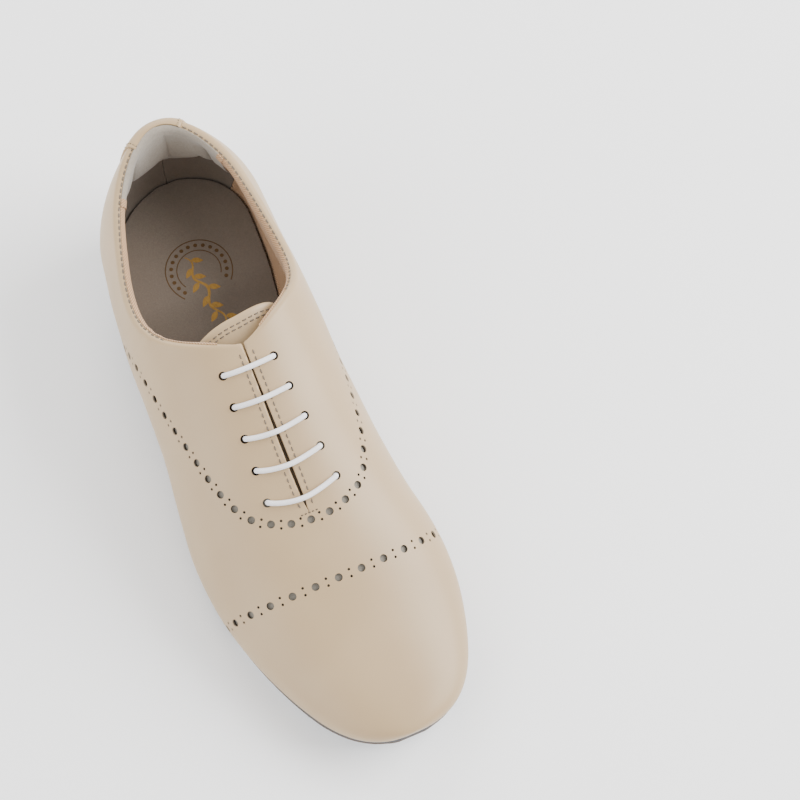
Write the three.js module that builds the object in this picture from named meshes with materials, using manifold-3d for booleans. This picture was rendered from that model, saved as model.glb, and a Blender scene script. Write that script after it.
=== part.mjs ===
// A low laced tap shoe for the right foot, built in the order a shoemaker would lay it up.
// Frame: +Z up, toe towards -Y, inner (medial) side of the foot towards +X. Millimetres.
// The origin is on the floor, under the middle of the heel tap.

import * as THREE from 'three';
import { mergeVertices } from 'three/addons/utils/BufferGeometryUtils.js';
import Module from 'manifold-3d';

const wasm = await Module();
wasm.setup();

// ---------------------------------------------------------------- driving dimensions

const LENGTH = 290;          // back of the heel to the tip of the toe
const HEEL_CENTRE = 32;      // back of the heel to the middle of the heel tap
const THROAT = 121;          // back of the heel to the top corner of the lace slit
const SLIT_END = 189;        // back of the heel to the closed end of the lace slit
const SLIT_WIDTH = 1.6;
const BACK_HEIGHT = 85;      // top of the heel above the floor
const HEEL_SEAT = 30;        // lasting edge above the floor at the heel
const BALL_SEAT = 8;         // and at the ball of the foot
const TOE_SPRING = 9;        // how much the lasting edge rises from the ball to the toe
const TIP_HEIGHT = 9;        // height of the upper at the very tip
const MARGIN = 13;           // upper turned in under the insole
const GAP = 0.3;             // between pieces that touch

// Depths of each layer below the outer face of the upper, outside then inside.
const UPPER = [0, 1.3];
const BACKING = [1.6, 2.0];
const STAY = [1.6, 2.2];
const COUNTER = [1.6, 3.0];
const PADDING = [1.6, 3.6];
const TOE_PUFF = [2.3, 3.1];
const HEEL_LINING = [3.9, 4.7];
const FRONT_LINING = [3.7, 4.3];
const TONGUE = [7.9, 9.0];
const TONGUE_PADDING = [9.3, 10.7];
const TONGUE_LINING = [11.0, 11.6];
const HEEL_STRAP = [-1.4, -0.3];

const ROLL_RADIUS = 2.6;     // the padded rim is the upper rolled over to the inside
const ROLL_STEPS = 4;

const LACE_RADIUS = 1.25;
const EYELET_ROWS = 5;
const FIRST_EYELET = 128.3;  // back of the heel to the top row
const EYELET_PITCH = 13.2;
const EYELET_BORE = 2.1;     // radius of the hole in the eyelet
const PUNCH_RADIUS = 2.8;    // hole in the upper and its stay, round the eyelet's barrel
const LINING_PUNCH = 2.7;    // hole in the lining, round the lace

const SOLE_THICKNESS = 2.8;
const TAP_BOARD = 1.4;
const TAP_THICKNESS = 2.9;
const TOE_TAP_REAR = 203;    // back of the heel to the rear edge of the toe tap
const HEEL_BREAST = 62;      // back of the heel to the front face of the heel
const TOP_PIECE_TOP = 8.7;

// ---------------------------------------------------------------- small helpers

const clamp = (value, low, high) => Math.min(high, Math.max(low, value));
const mix = (a, b, t) => a + (b - a) * t;

// 0 below t = 0, 1 above t = 1, with a level start and end.
function ease(t) {
  const u = clamp(t, 0, 1);
  return u * u * (3 - 2 * u);
}

// A rounded end: 0 at t = 0, full from t = 1 on, along a curve of power p.
const roundedEnd = (t, p) => (1 - clamp(1 - t, 0, 1) ** p) ** (1 / p);

// Natural cubic spline through the knots (xs, ys).
function spline(xs, ys) {
  const last = xs.length - 1;
  const step = xs.slice(1).map((x, i) => x - xs[i]);
  const rise = step.map((h, i) => (ys[i + 1] - ys[i]) / h);
  const bend = new Array(last + 1).fill(0);
  const carry = [0];
  const load = [0];
  for (let i = 1; i < last; i++) {
    const pivot = 2 * (step[i - 1] + step[i]) - step[i - 1] * carry[i - 1];
    carry[i] = step[i] / pivot;
    load[i] = (6 * (rise[i] - rise[i - 1]) - step[i - 1] * load[i - 1]) / pivot;
  }
  for (let i = last - 1; i > 0; i--) bend[i] = load[i] - carry[i] * bend[i + 1];
  return (value) => {
    const x = clamp(value, xs[0], xs[last]);
    let i = 0;
    while (i < last - 1 && x > xs[i + 1]) i++;
    const a = (xs[i + 1] - x) / step[i];
    const b = 1 - a;
    const curve = ((a ** 3 - a) * bend[i] + (b ** 3 - b) * bend[i + 1]) * step[i] ** 2 / 6;
    return a * ys[i] + b * ys[i + 1] + curve;
  };
}

// Straight lines through the knots (xs, ys), xs rising.
function polyline(xs, ys, x) {
  let i = 0;
  while (i < xs.length - 2 && x > xs[i + 1]) i++;
  return mix(ys[i], ys[i + 1], clamp((x - xs[i]) / (xs[i + 1] - xs[i]), 0, 1));
}

// ---------------------------------------------------------------- the last, as a surface

// l runs from the back of the heel (0) to the tip of the toe (LENGTH). angle runs up a cross
// section, from 0 at the lasting edge to a quarter turn at the crest. side is -1 on the outer
// (lateral) side of the foot and +1 on the inner (medial) side.
const CREST_ANGLE = Math.PI / 2;
const SECTIONS = [0, 55, 105, 145, 185, 215, 250, 290];
const widthOf = {
  [-1]: spline(SECTIONS, [37, 43, 48, 49.5, 53, 51, 46, 42.5]),
  [1]: spline(SECTIONS, [38.5, 40.5, 44, 46.5, 51.5, 55, 50, 43]),
};
const toeRound = { [-1]: [91, 2.6], [1]: [66, 2.7] };
const centreLine = spline([0, 60, 130, 200, 290], [2, -2, -3.5, -3.5, 2]);
const crestHeight = spline([0, 40, 85, 117, 150, 185, 220, 250, 290], [95, 101, 108, 94, 80, 64, 49, 38, 32.5]);
const fullness = spline([0, 60, 110, 150, 200, 250, 290], [2.3, 2.5, 2.5, 2.4, 2.35, 2.4, 2.5]);

function lastingEdge(l) {
  const drop = (HEEL_SEAT - BALL_SEAT) * (1 - ease((l - 50) / 140));
  const spring = TOE_SPRING * Math.max(0, (l - 225) / 65) ** 1.8;
  return BALL_SEAT + drop + spring;
}

function halfWidth(l, side) {
  const [length, power] = toeRound[side];
  return widthOf[side](l) * roundedEnd(l / 39, 2.2) * roundedEnd((LENGTH - l) / length, power);
}

function sectionHeight(l) {
  const full = crestHeight(l) - lastingEdge(l);
  return TIP_HEIGHT + (full - TIP_HEIGHT) * roundedEnd((LENGTH - l) / 38, 2.2);
}

// A point on the outer face of the upper: a superellipse section, drawn in towards its foot,
// most of all at the waist, with the ends leaning in to the heel seat and the toe.
function skin(l, angle, side) {
  const width = halfWidth(l, side);
  const height = sectionHeight(l);
  const power = 2 / fullness(l);
  const z = height * Math.sin(angle) ** power;
  const waist = Math.exp(-(((l - 112) / 38) ** 2));
  const tuckHeight = Math.min(20 + 18 * waist, 0.8 * height);
  const tuckDepth = (4 + (side > 0 ? 9 : 6) * waist) * Math.min(1, width / 15);
  const tuck = clamp(1 - z / tuckHeight, 0, 1) ** 2 * tuckDepth;
  const x = width * Math.max(0, Math.cos(angle)) ** power - tuck;
  const heelLean = 3 * clamp((z - 22) / 60, 0, 1.2) ** 1.5 + 3.5 * clamp(1 - z / 20, 0, 1) ** 2;
  const toeLean = 2.5 * clamp(1 - z / 14, 0, 1) ** 2;
  const lean = heelLean * clamp(1 - l / 70, 0, 1) ** 1.5 - toeLean * clamp((l - 265) / 25, 0, 1) ** 1.5;
  return new THREE.Vector3(centreLine(l) + side * x, HEEL_CENTRE - l - lean, lastingEdge(l + lean) + z);
}

function skinNormal(l, angle, side) {
  const step = 0.01;
  const back = skin(l - 1, angle, side);
  const along = skin(l + 1, angle, side).sub(back);
  const low = skin(l, angle - step, side);
  const up = skin(l, Math.min(angle + step, CREST_ANGLE), side).sub(low);
  return (side > 0 ? up.cross(along) : along.cross(up)).normalize();
}

function angleAtHeight(l, z) {
  const share = clamp((z - lastingEdge(l)) / sectionHeight(l), 0, 1);
  return Math.asin(share ** (fullness(l) / 2));
}

// The rim of the foot opening, from the back of the heel round to the throat, as a path in (l, angle).
function rimPath(side) {
  const sideHeights = side < 0 ? [78.5, 78, 88] : [76, 73.5, 89];
  const stops = [0.5, 28, 58, 82, THROAT - 15];
  const heights = [BACK_HEIGHT, (BACK_HEIGHT + sideHeights[0]) / 2 + 1, ...sideHeights];
  const ls = [0, ...stops.slice(1), THROAT];
  const angles = [...stops.map((l, i) => angleAtHeight(l, heights[i])), CREST_ANGLE];
  const run = [0];
  for (let i = 1; i < ls.length; i++) {
    run.push(run[i - 1] + Math.hypot(ls[i] - ls[i - 1], (angles[i] - angles[i - 1]) * 45));
  }
  const lAt = spline(run, ls);
  const angleAt = spline(run, angles);
  const end = run[run.length - 1];
  return (t) => [clamp(lAt(t * end), 0, THROAT), Math.min(angleAt(t * end), CREST_ANGLE)];
}

// Splits the path t -> [l, angle] at the given shares of its length on the surface.
function placed(path, shares, side) {
  const count = 160;
  const ts = Array.from({ length: count + 1 }, (_, i) => (1 - Math.cos(Math.PI * i / count)) / 2);
  const points = ts.map((t) => skin(...path(t), side));
  const run = [0];
  for (let i = 1; i <= count; i++) run.push(run[i - 1] + points[i].distanceTo(points[i - 1]));
  return shares.map((share) => path(polyline(run, ts, share * run[count])));
}

// ---------------------------------------------------------------- one grid shared by every layer

// Columns 0 to CORNER share out the rim of the foot opening, and CORNER to TIP the front of the
// shoe from the throat to the toe. Row 0 is the turned-in margin, FEATHER the lasting edge, EDGE the rim or the
// crest, and the rows after EDGE are the rolled rim.
const CORNER = 14;
const TIP = 30;
const FEATHER = 1;
const ROW_SHARES = [0, 0.05, 0.12, 0.24, 0.36, 0.48, 0.6, 0.72, 0.85, 0.985, 1];
const EDGE = FEATHER + ROW_SHARES.length - 1;
const CORNER_FOOT = 128;     // where the column from the throat meets the lasting edge
const PADDED_COLUMNS = 10;   // columns with a fully rolled, padded rim

function evenShares(count) {
  return Array.from({ length: count + 1 }, (_, i) => i / count);
}

// Each column joins a point on the lasting edge to one on the rim or the crest. In front of the
// throat the two drift together, so that the columns at the toe are plain cross sections.
function columnEnds(side) {
  const rim = placed(rimPath(side), evenShares(CORNER), side);
  const foot = placed((t) => [mix(0, CORNER_FOOT, t), 0], evenShares(CORNER), side);
  const front = placed((t) => [mix(THROAT, LENGTH, t), 0.4], evenShares(TIP - CORNER), side).slice(1);
  const drift = (l) => (CORNER_FOOT - THROAT) * (LENGTH - l) / (LENGTH - THROAT);
  return {
    tops: [...rim, ...front.map(([l]) => [l, CREST_ANGLE])],
    feet: [...foot, ...front.map(([l]) => [l + drift(l), 0])],
  };
}

const crestPlaces = columnEnds(1).tops.map(([l]) => l);
const columnAt = (l) => crestPlaces.findIndex((place) => place >= l);
const VAMP_COLUMN = columnAt(SLIT_END - 4);   // the slit closes at this column

const grid = new Map();      // vertex name -> { point, normal }
const faces = [];            // { side, column, row, corners: four vertex names, anticlockwise }

function vertexName(side, column, row) {
  const shared = column === 0 || column === TIP || (column >= VAMP_COLUMN && row >= EDGE);
  return `${shared ? 0 : side}:${column}:${row}`;
}

function addVertex(side, column, row, point) {
  grid.set(vertexName(side, column, row), { point, normal: new THREE.Vector3(), column, row });
}

function addFaces(side, firstRow, lastRow, lastColumn) {
  for (let column = 0; column < lastColumn; column++) {
    for (let row = firstRow; row < lastRow; row++) {
      const corners = [[0, 0], [1, 0], [1, 1], [0, 1]].map(([c, r]) => vertexName(side, column + c, row + r));
      if (side > 0) corners.reverse();
      faces.push({ side, column, row, corners });
    }
  }
}

function sumNormals() {
  for (const { corners } of faces) {
    const [a, b, c, d] = corners.map((name) => grid.get(name).point);
    const across = c.clone().sub(a).cross(d.clone().sub(b));
    for (const name of corners) grid.get(name).normal.add(across);
  }
  for (const vertex of grid.values()) vertex.normal.normalize();
}

for (const side of [-1, 1]) {
  const { tops, feet } = columnEnds(side);
  for (let column = 0; column <= TIP; column++) {
    const [footL] = feet[column];
    const [topL, topAngle] = tops[column];
    const path = (t) => [mix(footL, topL, t), topAngle * t ** 1.5];
    placed(path, ROW_SHARES, side).forEach(([l, angle], i) => {
      const point = skin(l, angle, side);
      const slit = column >= CORNER && column < VAMP_COLUMN && FEATHER + i === EDGE;
      if (slit) point.x += side * SLIT_WIDTH / 2;
      addVertex(side, column, FEATHER + i, point);
    });
  }
  // The margin runs square to the lasting edge, in the plane of the insole.
  for (let column = 0; column <= TIP; column++) {
    const foot = grid.get(vertexName(side, column, FEATHER)).point;
    const before = grid.get(vertexName(column === 0 ? -side : side, Math.abs(column - 1), FEATHER));
    const after = grid.get(vertexName(side, column === TIP ? TIP - 1 : column + 1, FEATHER));
    const along = (column === TIP ? foot : after.point).clone().sub((before ?? after).point);
    const inward = new THREE.Vector3(side * along.y, -side * along.x, 0).normalize();
    if (column === 0) inward.set(0, -1, 0);
    if (column === TIP) inward.set(0, 1, 0);
    const point = foot.clone().addScaledVector(inward, MARGIN);
    point.z = lastingEdge(HEEL_CENTRE - point.y);
    addVertex(side, column, 0, point);
  }
  addFaces(side, 0, EDGE, TIP);
}
sumNormals();

// The rolled rim: a half circle of ROLL_RADIUS from the edge over to the inside of the shoe. It
// opens out towards the throat, where the edge is only rounded.
function rollTurn(column) {
  return mix(Math.PI, 0.7, ease((column - PADDED_COLUMNS) / (CORNER - PADDED_COLUMNS)));
}

for (const side of [-1, 1]) {
  for (let column = 0; column <= CORNER; column++) {
    const { point, normal } = grid.get(vertexName(side, column, EDGE));
    const before = grid.get(vertexName(column === 0 ? -side : side, Math.abs(column - 1), EDGE)).point;
    const afterSide = column === CORNER ? -side : side;
    const afterColumn = column === CORNER ? CORNER - 1 : column + 1;
    const along = grid.get(vertexName(afterSide, afterColumn, EDGE)).point.clone().sub(before);
    const beyond = along.cross(normal).multiplyScalar(side).normalize();
    for (let step = 1; step <= ROLL_STEPS; step++) {
      const turn = rollTurn(column) * step / ROLL_STEPS;
      const rolled = point.clone().addScaledVector(beyond, ROLL_RADIUS * Math.sin(turn));
      rolled.addScaledVector(normal, -ROLL_RADIUS * (1 - Math.cos(turn)));
      addVertex(side, column, EDGE + step, rolled);
      const outward = beyond.clone().multiplyScalar(Math.sin(turn)).addScaledVector(normal, Math.cos(turn));
      grid.get(vertexName(side, column, EDGE + step)).normal = outward;
    }
  }
}
for (const side of [-1, 1]) addFaces(side, EDGE, EDGE + ROLL_STEPS, CORNER);

// ---------------------------------------------------------------- solids

function geometryFrom(points, triangles) {
  const geometry = new THREE.BufferGeometry();
  geometry.setAttribute('position', new THREE.Float32BufferAttribute(points.flatMap((p) => p.toArray()), 3));
  geometry.setIndex(triangles.flat());
  return geometry;
}

// A sheet laid at depth(column, row) = [outside, inside] below the skin, over the faces that
// covers(side, column, row) picks. Its own edges are drawn in by trim.
function layer(covers, depth, trim = 0.25) {
  const chosen = faces.filter((face) => covers(face.side, face.column, face.row));
  const edges = new Map();
  for (const { corners } of chosen) {
    corners.forEach((name, i) => edges.set(`${name}>${corners[(i + 1) % 4]}`, [name, corners[(i + 1) % 4]]));
  }
  const rim = [...edges.values()].filter(([a, b]) => !edges.has(`${b}>${a}`));
  const inward = new Map(rim.flat().map((name) => [name, new THREE.Vector3()]));
  for (const { corners } of chosen) {
    const middle = new THREE.Vector3();
    corners.forEach((name) => middle.addScaledVector(grid.get(name).point, 0.25));
    for (const name of corners) inward.get(name)?.add(middle).sub(grid.get(name).point);
  }
  const index = new Map();
  const points = [];
  for (const name of new Set(chosen.flatMap((face) => face.corners))) {
    const { point, normal, column, row } = grid.get(name);
    const place = point.clone();
    if (inward.has(name)) place.addScaledVector(inward.get(name).normalize(), trim);
    const [outside, inside] = depth(column, row);
    index.set(name, points.length);
    points.push(place.clone().addScaledVector(normal, -outside), place.addScaledVector(normal, -inside));
  }
  const triangles = [];
  for (const { corners } of chosen) {
    const [a, b, c, d] = corners.map((name) => index.get(name));
    triangles.push([a, b, c], [a, c, d], [c + 1, b + 1, a + 1], [d + 1, c + 1, a + 1]);
  }
  for (const [from, to] of rim) {
    const [a, b] = [index.get(from), index.get(to)];
    triangles.push([b, a, a + 1], [b, a + 1, b + 1]);
  }
  return geometryFrom(points, triangles);
}

// A solid through rings of points, each ring clockwise as seen from the ring after it, with both
// ends capped.
function loft(rings) {
  const size = rings[0].length;
  const triangles = [];
  for (let r = 0; r < rings.length - 1; r++) {
    for (let i = 0; i < size; i++) {
      const [a, b] = [r * size + i, r * size + (i + 1) % size];
      triangles.push([a, b + size, b], [a, a + size, b + size]);
    }
  }
  const end = (rings.length - 1) * size;
  for (let i = 1; i < size - 1; i++) triangles.push([0, i, i + 1], [end, end + i + 1, end + i]);
  return geometryFrom(rings.flat(), triangles);
}

// The lasting edge seen from above, moved out by outset: x on each side at a distance l from the heel.
function outline(outset) {
  const ls = Array.from({ length: 181 }, (_, i) => LENGTH * (1 - Math.cos(Math.PI * i / 180)) / 2);
  const edges = [-1, 1].map((side) => {
    const points = ls.map((l) => skin(l, 0, side));
    return points.map((point, i) => {
      const along = points[Math.min(i + 1, 180)].clone().sub(points[Math.max(i - 1, 0)]);
      const outward = new THREE.Vector3(-side * along.y, side * along.x, 0).normalize();
      if (i === 0) outward.set(0, 1, 0);
      if (i === 180) outward.set(0, -1, 0);
      return point.clone().addScaledVector(outward, outset);
    });
  });
  const distances = edges.map((points) => points.map((point) => HEEL_CENTRE - point.y));
  const xAt = (edge, l) => polyline(distances[edge], edges[edge].map((point) => point.x), l);
  return {
    rear: distances[0][0],
    front: distances[0][180],
    across: (l) => [xAt(0, l), xAt(1, l)],
  };
}

// A flat piece of the bottom, between two distances from the heel, following the outline. corner
// rounds its ends where they cross the shoe.
function plate({ from = -99, to = 999, outset, top, bottom, taper = 0, corner = 0, stations = 22 }) {
  const upperOutline = outline(outset);
  const lowerOutline = outline(outset - taper);
  const blunt = 0.35;
  const start = Math.max(from, lowerOutline.rear + blunt);
  const stop = Math.min(to, lowerOutline.front - blunt);
  const rings = Array.from({ length: stations + 1 }, (_, i) => {
    const l = mix(start, stop, (1 - Math.cos(Math.PI * i / stations)) / 2);
    const toEnd = Math.min(from > 0 ? l - start : 99, to < LENGTH ? stop - l : 99);
    const cut = corner * (1 - roundedEnd((toEnd + 0.01) / (corner + 0.01), 2));
    const [topLeft, topRight] = upperOutline.across(l);
    const [lowLeft, lowRight] = lowerOutline.across(l);
    const y = HEEL_CENTRE - l;
    return [
      new THREE.Vector3(lowLeft + cut, y, bottom(l)),
      new THREE.Vector3(topLeft + cut, y, top(l)),
      new THREE.Vector3(topRight - cut, y, top(l)),
      new THREE.Vector3(lowRight - cut, y, bottom(l)),
    ];
  });
  return loft(rings);
}

function solid(geometry) {
  const plain = geometry.clone();
  plain.deleteAttribute('normal');
  plain.deleteAttribute('uv');
  const merged = mergeVertices(plain, 1e-4);
  const mesh = new wasm.Mesh({
    numProp: 3,
    vertProperties: new Float32Array(merged.attributes.position.array),
    triVerts: new Uint32Array(merged.index.array),
  });
  return new wasm.Manifold(mesh);
}

const SLIVER = 0.06;

// Vertices that a cut leaves nearer than SLIVER to each other are joined, and the triangles
// between them dropped.
function geometryOf(manifold) {
  const { vertProperties, triVerts, numVert } = manifold.getMesh();
  const at = (i) => new THREE.Vector3().fromArray(vertProperties, 3 * i);
  const kept = Array.from({ length: numVert }, (_, i) => i);
  const keeper = (i) => (kept[i] === i ? i : keeper(kept[i]));
  triVerts.forEach((from, i) => {
    const to = triVerts[i % 3 === 2 ? i - 2 : i + 1];
    if (at(from).distanceTo(at(to)) >= SLIVER) return;
    const [first, second] = [keeper(from), keeper(to)].sort((a, b) => a - b);
    kept[second] = first;
  });
  const triangles = [];
  for (let i = triVerts.length - 3; i >= 0; i -= 3) {
    const corners = [...triVerts.subarray(i, i + 3)].map(keeper);
    if (new Set(corners).size === 3) triangles.push(corners);
  }
  return geometryFrom(kept.map((_, i) => at(i)), triangles);
}

const cut = (body, tools) => geometryOf(tools.reduce((left, tool) => left.subtract(solid(tool)), solid(body)));

// A geometry made along +Z, turned to point along direction and moved to place.
function aimed(geometry, place, direction) {
  const turn = new THREE.Quaternion().setFromUnitVectors(new THREE.Vector3(0, 0, 1), direction);
  return geometry.clone().applyQuaternion(turn).translate(place.x, place.y, place.z);
}

function peg(radius, length, sides) {
  return new THREE.CylinderGeometry(radius, radius, length, sides).rotateX(Math.PI / 2);
}

// ---------------------------------------------------------------- materials and the group

const group = new THREE.Group();

function finish(color, roughness, metalness = 0) {
  return new THREE.MeshStandardMaterial({ color, roughness, metalness });
}

const ivoryCalf = finish(0xcfc3b1, 0.45);
const greySuede = finish(0xb9b2a8, 0.95);
const tanTwill = finish(0xc4a083, 0.9);
const taupeMicrofibre = finish(0x7d7268, 0.9);
const greyBacking = finish(0x8f8a80, 0.95);
const board = finish(0x9a7f5f, 0.9);
const foam = finish(0xd9d4c8, 1.0);
const cork = finish(0xb08a5c, 1.0);
const stiffener = finish(0xe4e0d6, 0.8);
const soleLeather = finish(0x3f454d, 0.6);
const stackedHeel = finish(0x4a4f57, 0.55);
const rubber = finish(0x2c2e31, 0.85);
const fibreBoard = finish(0x5a4636, 0.85);
const aluminium = finish(0xc9ccd0, 0.3, 1);
const steel = finish(0xa8abb0, 0.35, 1);
const whiteElastic = finish(0xe9e6e6, 0.8);

function add(name, geometry, material, place) {
  const mesh = new THREE.Mesh(geometry, material);
  mesh.name = name;
  if (place) {
    mesh.position.copy(place.at);
    mesh.quaternion.setFromUnitVectors(new THREE.Vector3(0, 0, 1), place.along);
  }
  group.add(mesh);
}

// ---------------------------------------------------------------- facings: where the lace goes

// The skin at a distance from the crest, measured over the surface at one l.
function onFacing(l, side, distance) {
  const steps = 400;
  let point = skin(l, CREST_ANGLE, side);
  let run = 0;
  for (let i = 1; i <= steps; i++) {
    const angle = CREST_ANGLE * (1 - i / steps);
    const next = skin(l, angle, side);
    run += next.distanceTo(point);
    point = next;
    if (run >= distance) return { point, normal: skinNormal(l, angle, side) };
  }
  return { point, normal: skinNormal(l, 0, side) };
}

// The rows spread apart towards the toe, more on the inner side.
const eyelets = { [-1]: [], [1]: [] };
for (let row = 0; row < EYELET_ROWS; row++) {
  const l = FIRST_EYELET + EYELET_PITCH * row;
  eyelets[-1].push(onFacing(l, -1, 13 + 0.55 * row));
  eyelets[1].push(onFacing(l, 1, 10.8 + 1.65 * row));
}
const allEyelets = [...eyelets[-1], ...eyelets[1]];
const punches = (radius, list) => list.map(({ point, normal }) => aimed(peg(radius, 12, 8), point, normal));

// ---------------------------------------------------------------- upper, stiffeners and linings

const always = () => true;
const FACING_ROW = 6;        // the facing stays lie above this row
const PAD_ROW = 7;           // the padded collar lies above this row, the counter below it
const GRIP_COLUMNS = 4;
const COUNTER_COLUMNS = 5;
const BACKING_COLUMN = 7;
const PUFF_COLUMN = columnAt(242);

add('upper', cut(layer(always, () => UPPER, 0), punches(PUNCH_RADIUS, allEyelets)), ivoryCalf);
add('heel_strap', layer((side, column, row) => column < 1 && row >= 2 && row < EDGE + 3, () => HEEL_STRAP), ivoryCalf);
add('collar_padding', layer(
  (side, column, row) => column < PADDED_COLUMNS && row >= PAD_ROW && row < EDGE - 1,
  () => PADDING,
), foam);
add('heel_counter', layer(
  (side, column, row) => column < COUNTER_COLUMNS && row >= FEATHER && row < PAD_ROW,
  () => COUNTER,
), stiffener);
add('toe_puff', layer((side, column, row) => column >= PUFF_COLUMN && row >= FEATHER, () => TOE_PUFF), stiffener);
add('vamp_backing', layer((side, column, row) => {
  const low = row >= FEATHER && row < FACING_ROW;
  return column >= BACKING_COLUMN && (column >= VAMP_COLUMN ? row >= FEATHER : low);
}, () => BACKING), greyBacking);

function liningDepth(column) {
  const t = ease((column - PADDED_COLUMNS) / 2);
  return [mix(HEEL_LINING[0], FRONT_LINING[0], t), mix(HEEL_LINING[1], FRONT_LINING[1], t)];
}
const skinRows = (row) => row >= FEATHER && row < EDGE - 1;
add('heel_grip', layer((side, column, row) => column < GRIP_COLUMNS && skinRows(row), liningDepth), greySuede);
add('vamp_lining', layer((side, column, row) => column >= VAMP_COLUMN && row >= FEATHER, liningDepth), tanTwill);

const sideName = { [-1]: 'lateral', [1]: 'medial' };
for (const side of [-1, 1]) {
  const lining = layer((s, column, row) => {
    return s === side && column >= GRIP_COLUMNS && column < VAMP_COLUMN && skinRows(row);
  }, liningDepth);
  add(`quarter_lining_${sideName[side]}`, cut(lining, punches(LINING_PUNCH, eyelets[side])), tanTwill);
  const stay = layer((s, column, row) => {
    return s === side && column >= CORNER && column < VAMP_COLUMN && row >= FACING_ROW && row < EDGE - 1;
  }, () => STAY);
  add(`facing_stay_${sideName[side]}`, cut(stay, punches(PUNCH_RADIUS, eyelets[side])), greyBacking);
}

// ---------------------------------------------------------------- eyelets and lace

// A blind eyelet: a flange under the stay, and a barrel up into the hole of the upper.
function eyeletGeometry() {
  const barrel = EYELET_BORE + 0.4;
  const flange = 3.8;
  const [flangeLow, flangeTop, barrelTop] = [-3.35, -2.95, -0.9];
  const profile = [
    [EYELET_BORE, flangeLow], [flange, flangeLow], [flange, flangeTop],
    [barrel, flangeTop], [barrel, barrelTop], [EYELET_BORE, barrelTop], [EYELET_BORE, flangeLow],
  ];
  return new THREE.LatheGeometry(profile.map(([r, z]) => new THREE.Vector2(r, z)), 10).rotateX(Math.PI / 2);
}

for (const side of [-1, 1]) {
  eyelets[side].forEach(({ point, normal }, row) => {
    add(`eyelet_${sideName[side]}_${row + 1}`, eyeletGeometry(), steel, { at: point, along: normal });
  });
}

// One elastic lace: five bars over the slit, joined by runs under the facings on alternate sides.
const LACE_RUN_DEPTH = 6.2;
function lacePoints() {
  const points = [];
  const at = ({ point, normal }, height) => point.clone().addScaledVector(normal, height);
  const between = (a, b, share, height) => {
    const place = a.point.clone().lerp(b.point, share);
    const up = a.normal.clone().lerp(b.normal, share).normalize();
    return place.addScaledVector(up, height);
  };
  const first = eyelets[-1][0];
  const firstBelow = eyelets[-1][1];
  points.push(between(first, firstBelow, 0.45, -LACE_RUN_DEPTH));
  points.push(between(first, firstBelow, 0.2, -LACE_RUN_DEPTH));
  for (let row = 0; row < EYELET_ROWS; row++) {
    const side = row % 2 === 0 ? -1 : 1;
    const [from, to] = [eyelets[side][row], eyelets[-side][row]];
    points.push(at(from, -4.4), at(from, -1.5), at(from, 0.6));
    points.push(between(from, to, 0.1, 2.1), between(from, to, 0.3, 3.4));
    points.push(between(from, to, 0.5, 4.2), between(from, to, 0.7, 3.4), between(from, to, 0.9, 2.1));
    points.push(at(to, 0.6), at(to, -1.5), at(to, -4.4));
    const next = eyelets[-side][row + 1] ?? eyelets[-side][row - 1];
    const share = row + 1 < EYELET_ROWS ? [0.25, 0.5, 0.75] : [0.2, 0.45];
    share.forEach((t) => points.push(between(to, next, t, -LACE_RUN_DEPTH)));
  }
  return points;
}

function laceGeometry() {
  const points = lacePoints();
  const path = new THREE.CatmullRomCurve3(points, false, 'centripetal');
  const section = new THREE.Shape();
  section.absarc(0, 0, LACE_RADIUS, 0, 2 * Math.PI);
  const tube = new THREE.ExtrudeGeometry(section, { steps: 130, curveSegments: 3, extrudePath: path });
  const knots = [[points[0], eyelets[-1][0]], [points[points.length - 1], eyelets[1][EYELET_ROWS - 1]]];
  const knot = new THREE.SphereGeometry(3, 8, 5).scale(1, 1, 0.5);
  const parts = knots.map(([place, { normal }]) => solid(aimed(knot, place, normal)));
  return geometryOf(parts.reduce((whole, part) => whole.add(part), solid(tube)));
}
add('lace', laceGeometry(), whiteElastic);

// ---------------------------------------------------------------- tongue

const TONGUE_ROOT = 187;
const TONGUE_TIP = 104;

// A sheet at the given depths below the crest, from a tip that is rounded in plan down to the root.
function tongueSheet([outside, inside], trim) {
  const across = 8;
  const along = 7;
  const rows = [];
  for (let v = 0; v <= along; v++) {
    const row = [];
    for (let u = 0; u <= across; u++) {
      const share = 2 * u / across - 1;
      const side = share < 0 ? -1 : 1;
      const tip = TONGUE_TIP + trim + 7 * Math.abs(share) ** 3;
      const l = mix(tip, TONGUE_ROOT - trim, v / along);
      const spread = (0.5 - 0.1 * v / along) * (1 - trim / 30);
      const angle = CREST_ANGLE - spread * Math.abs(share);
      const normal = skinNormal(l, angle, side);
      const point = skin(l, angle, side);
      row.push([point.clone().addScaledVector(normal, -outside), point.addScaledVector(normal, -inside)]);
    }
    rows.push(row);
  }
  const rings = rows.map((row) => [...row.map(([top]) => top), ...row.map(([, under]) => under).reverse()]);
  const size = 2 * (across + 1);
  const body = loft(rings);
  const index = Array.from(body.index.array).slice(0, -6 * (size - 2));
  for (const [start, flip] of [[0, 0], [along * size, 1]]) {
    for (let u = 0; u < across; u++) {
      const [a, b, c, d] = [u, u + 1, size - 2 - u, size - 1 - u].map((i) => start + i);
      index.push(...(flip ? [a, c, b, a, d, c] : [a, b, c, a, c, d]));
    }
  }
  body.setIndex(index);
  return body;
}
add('tongue', tongueSheet(TONGUE, 0), ivoryCalf);
add('tongue_padding', tongueSheet(TONGUE_PADDING, 3), foam);
add('tongue_lining', tongueSheet(TONGUE_LINING, 1), tanTwill);

// ---------------------------------------------------------------- bottom of the shoe

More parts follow.
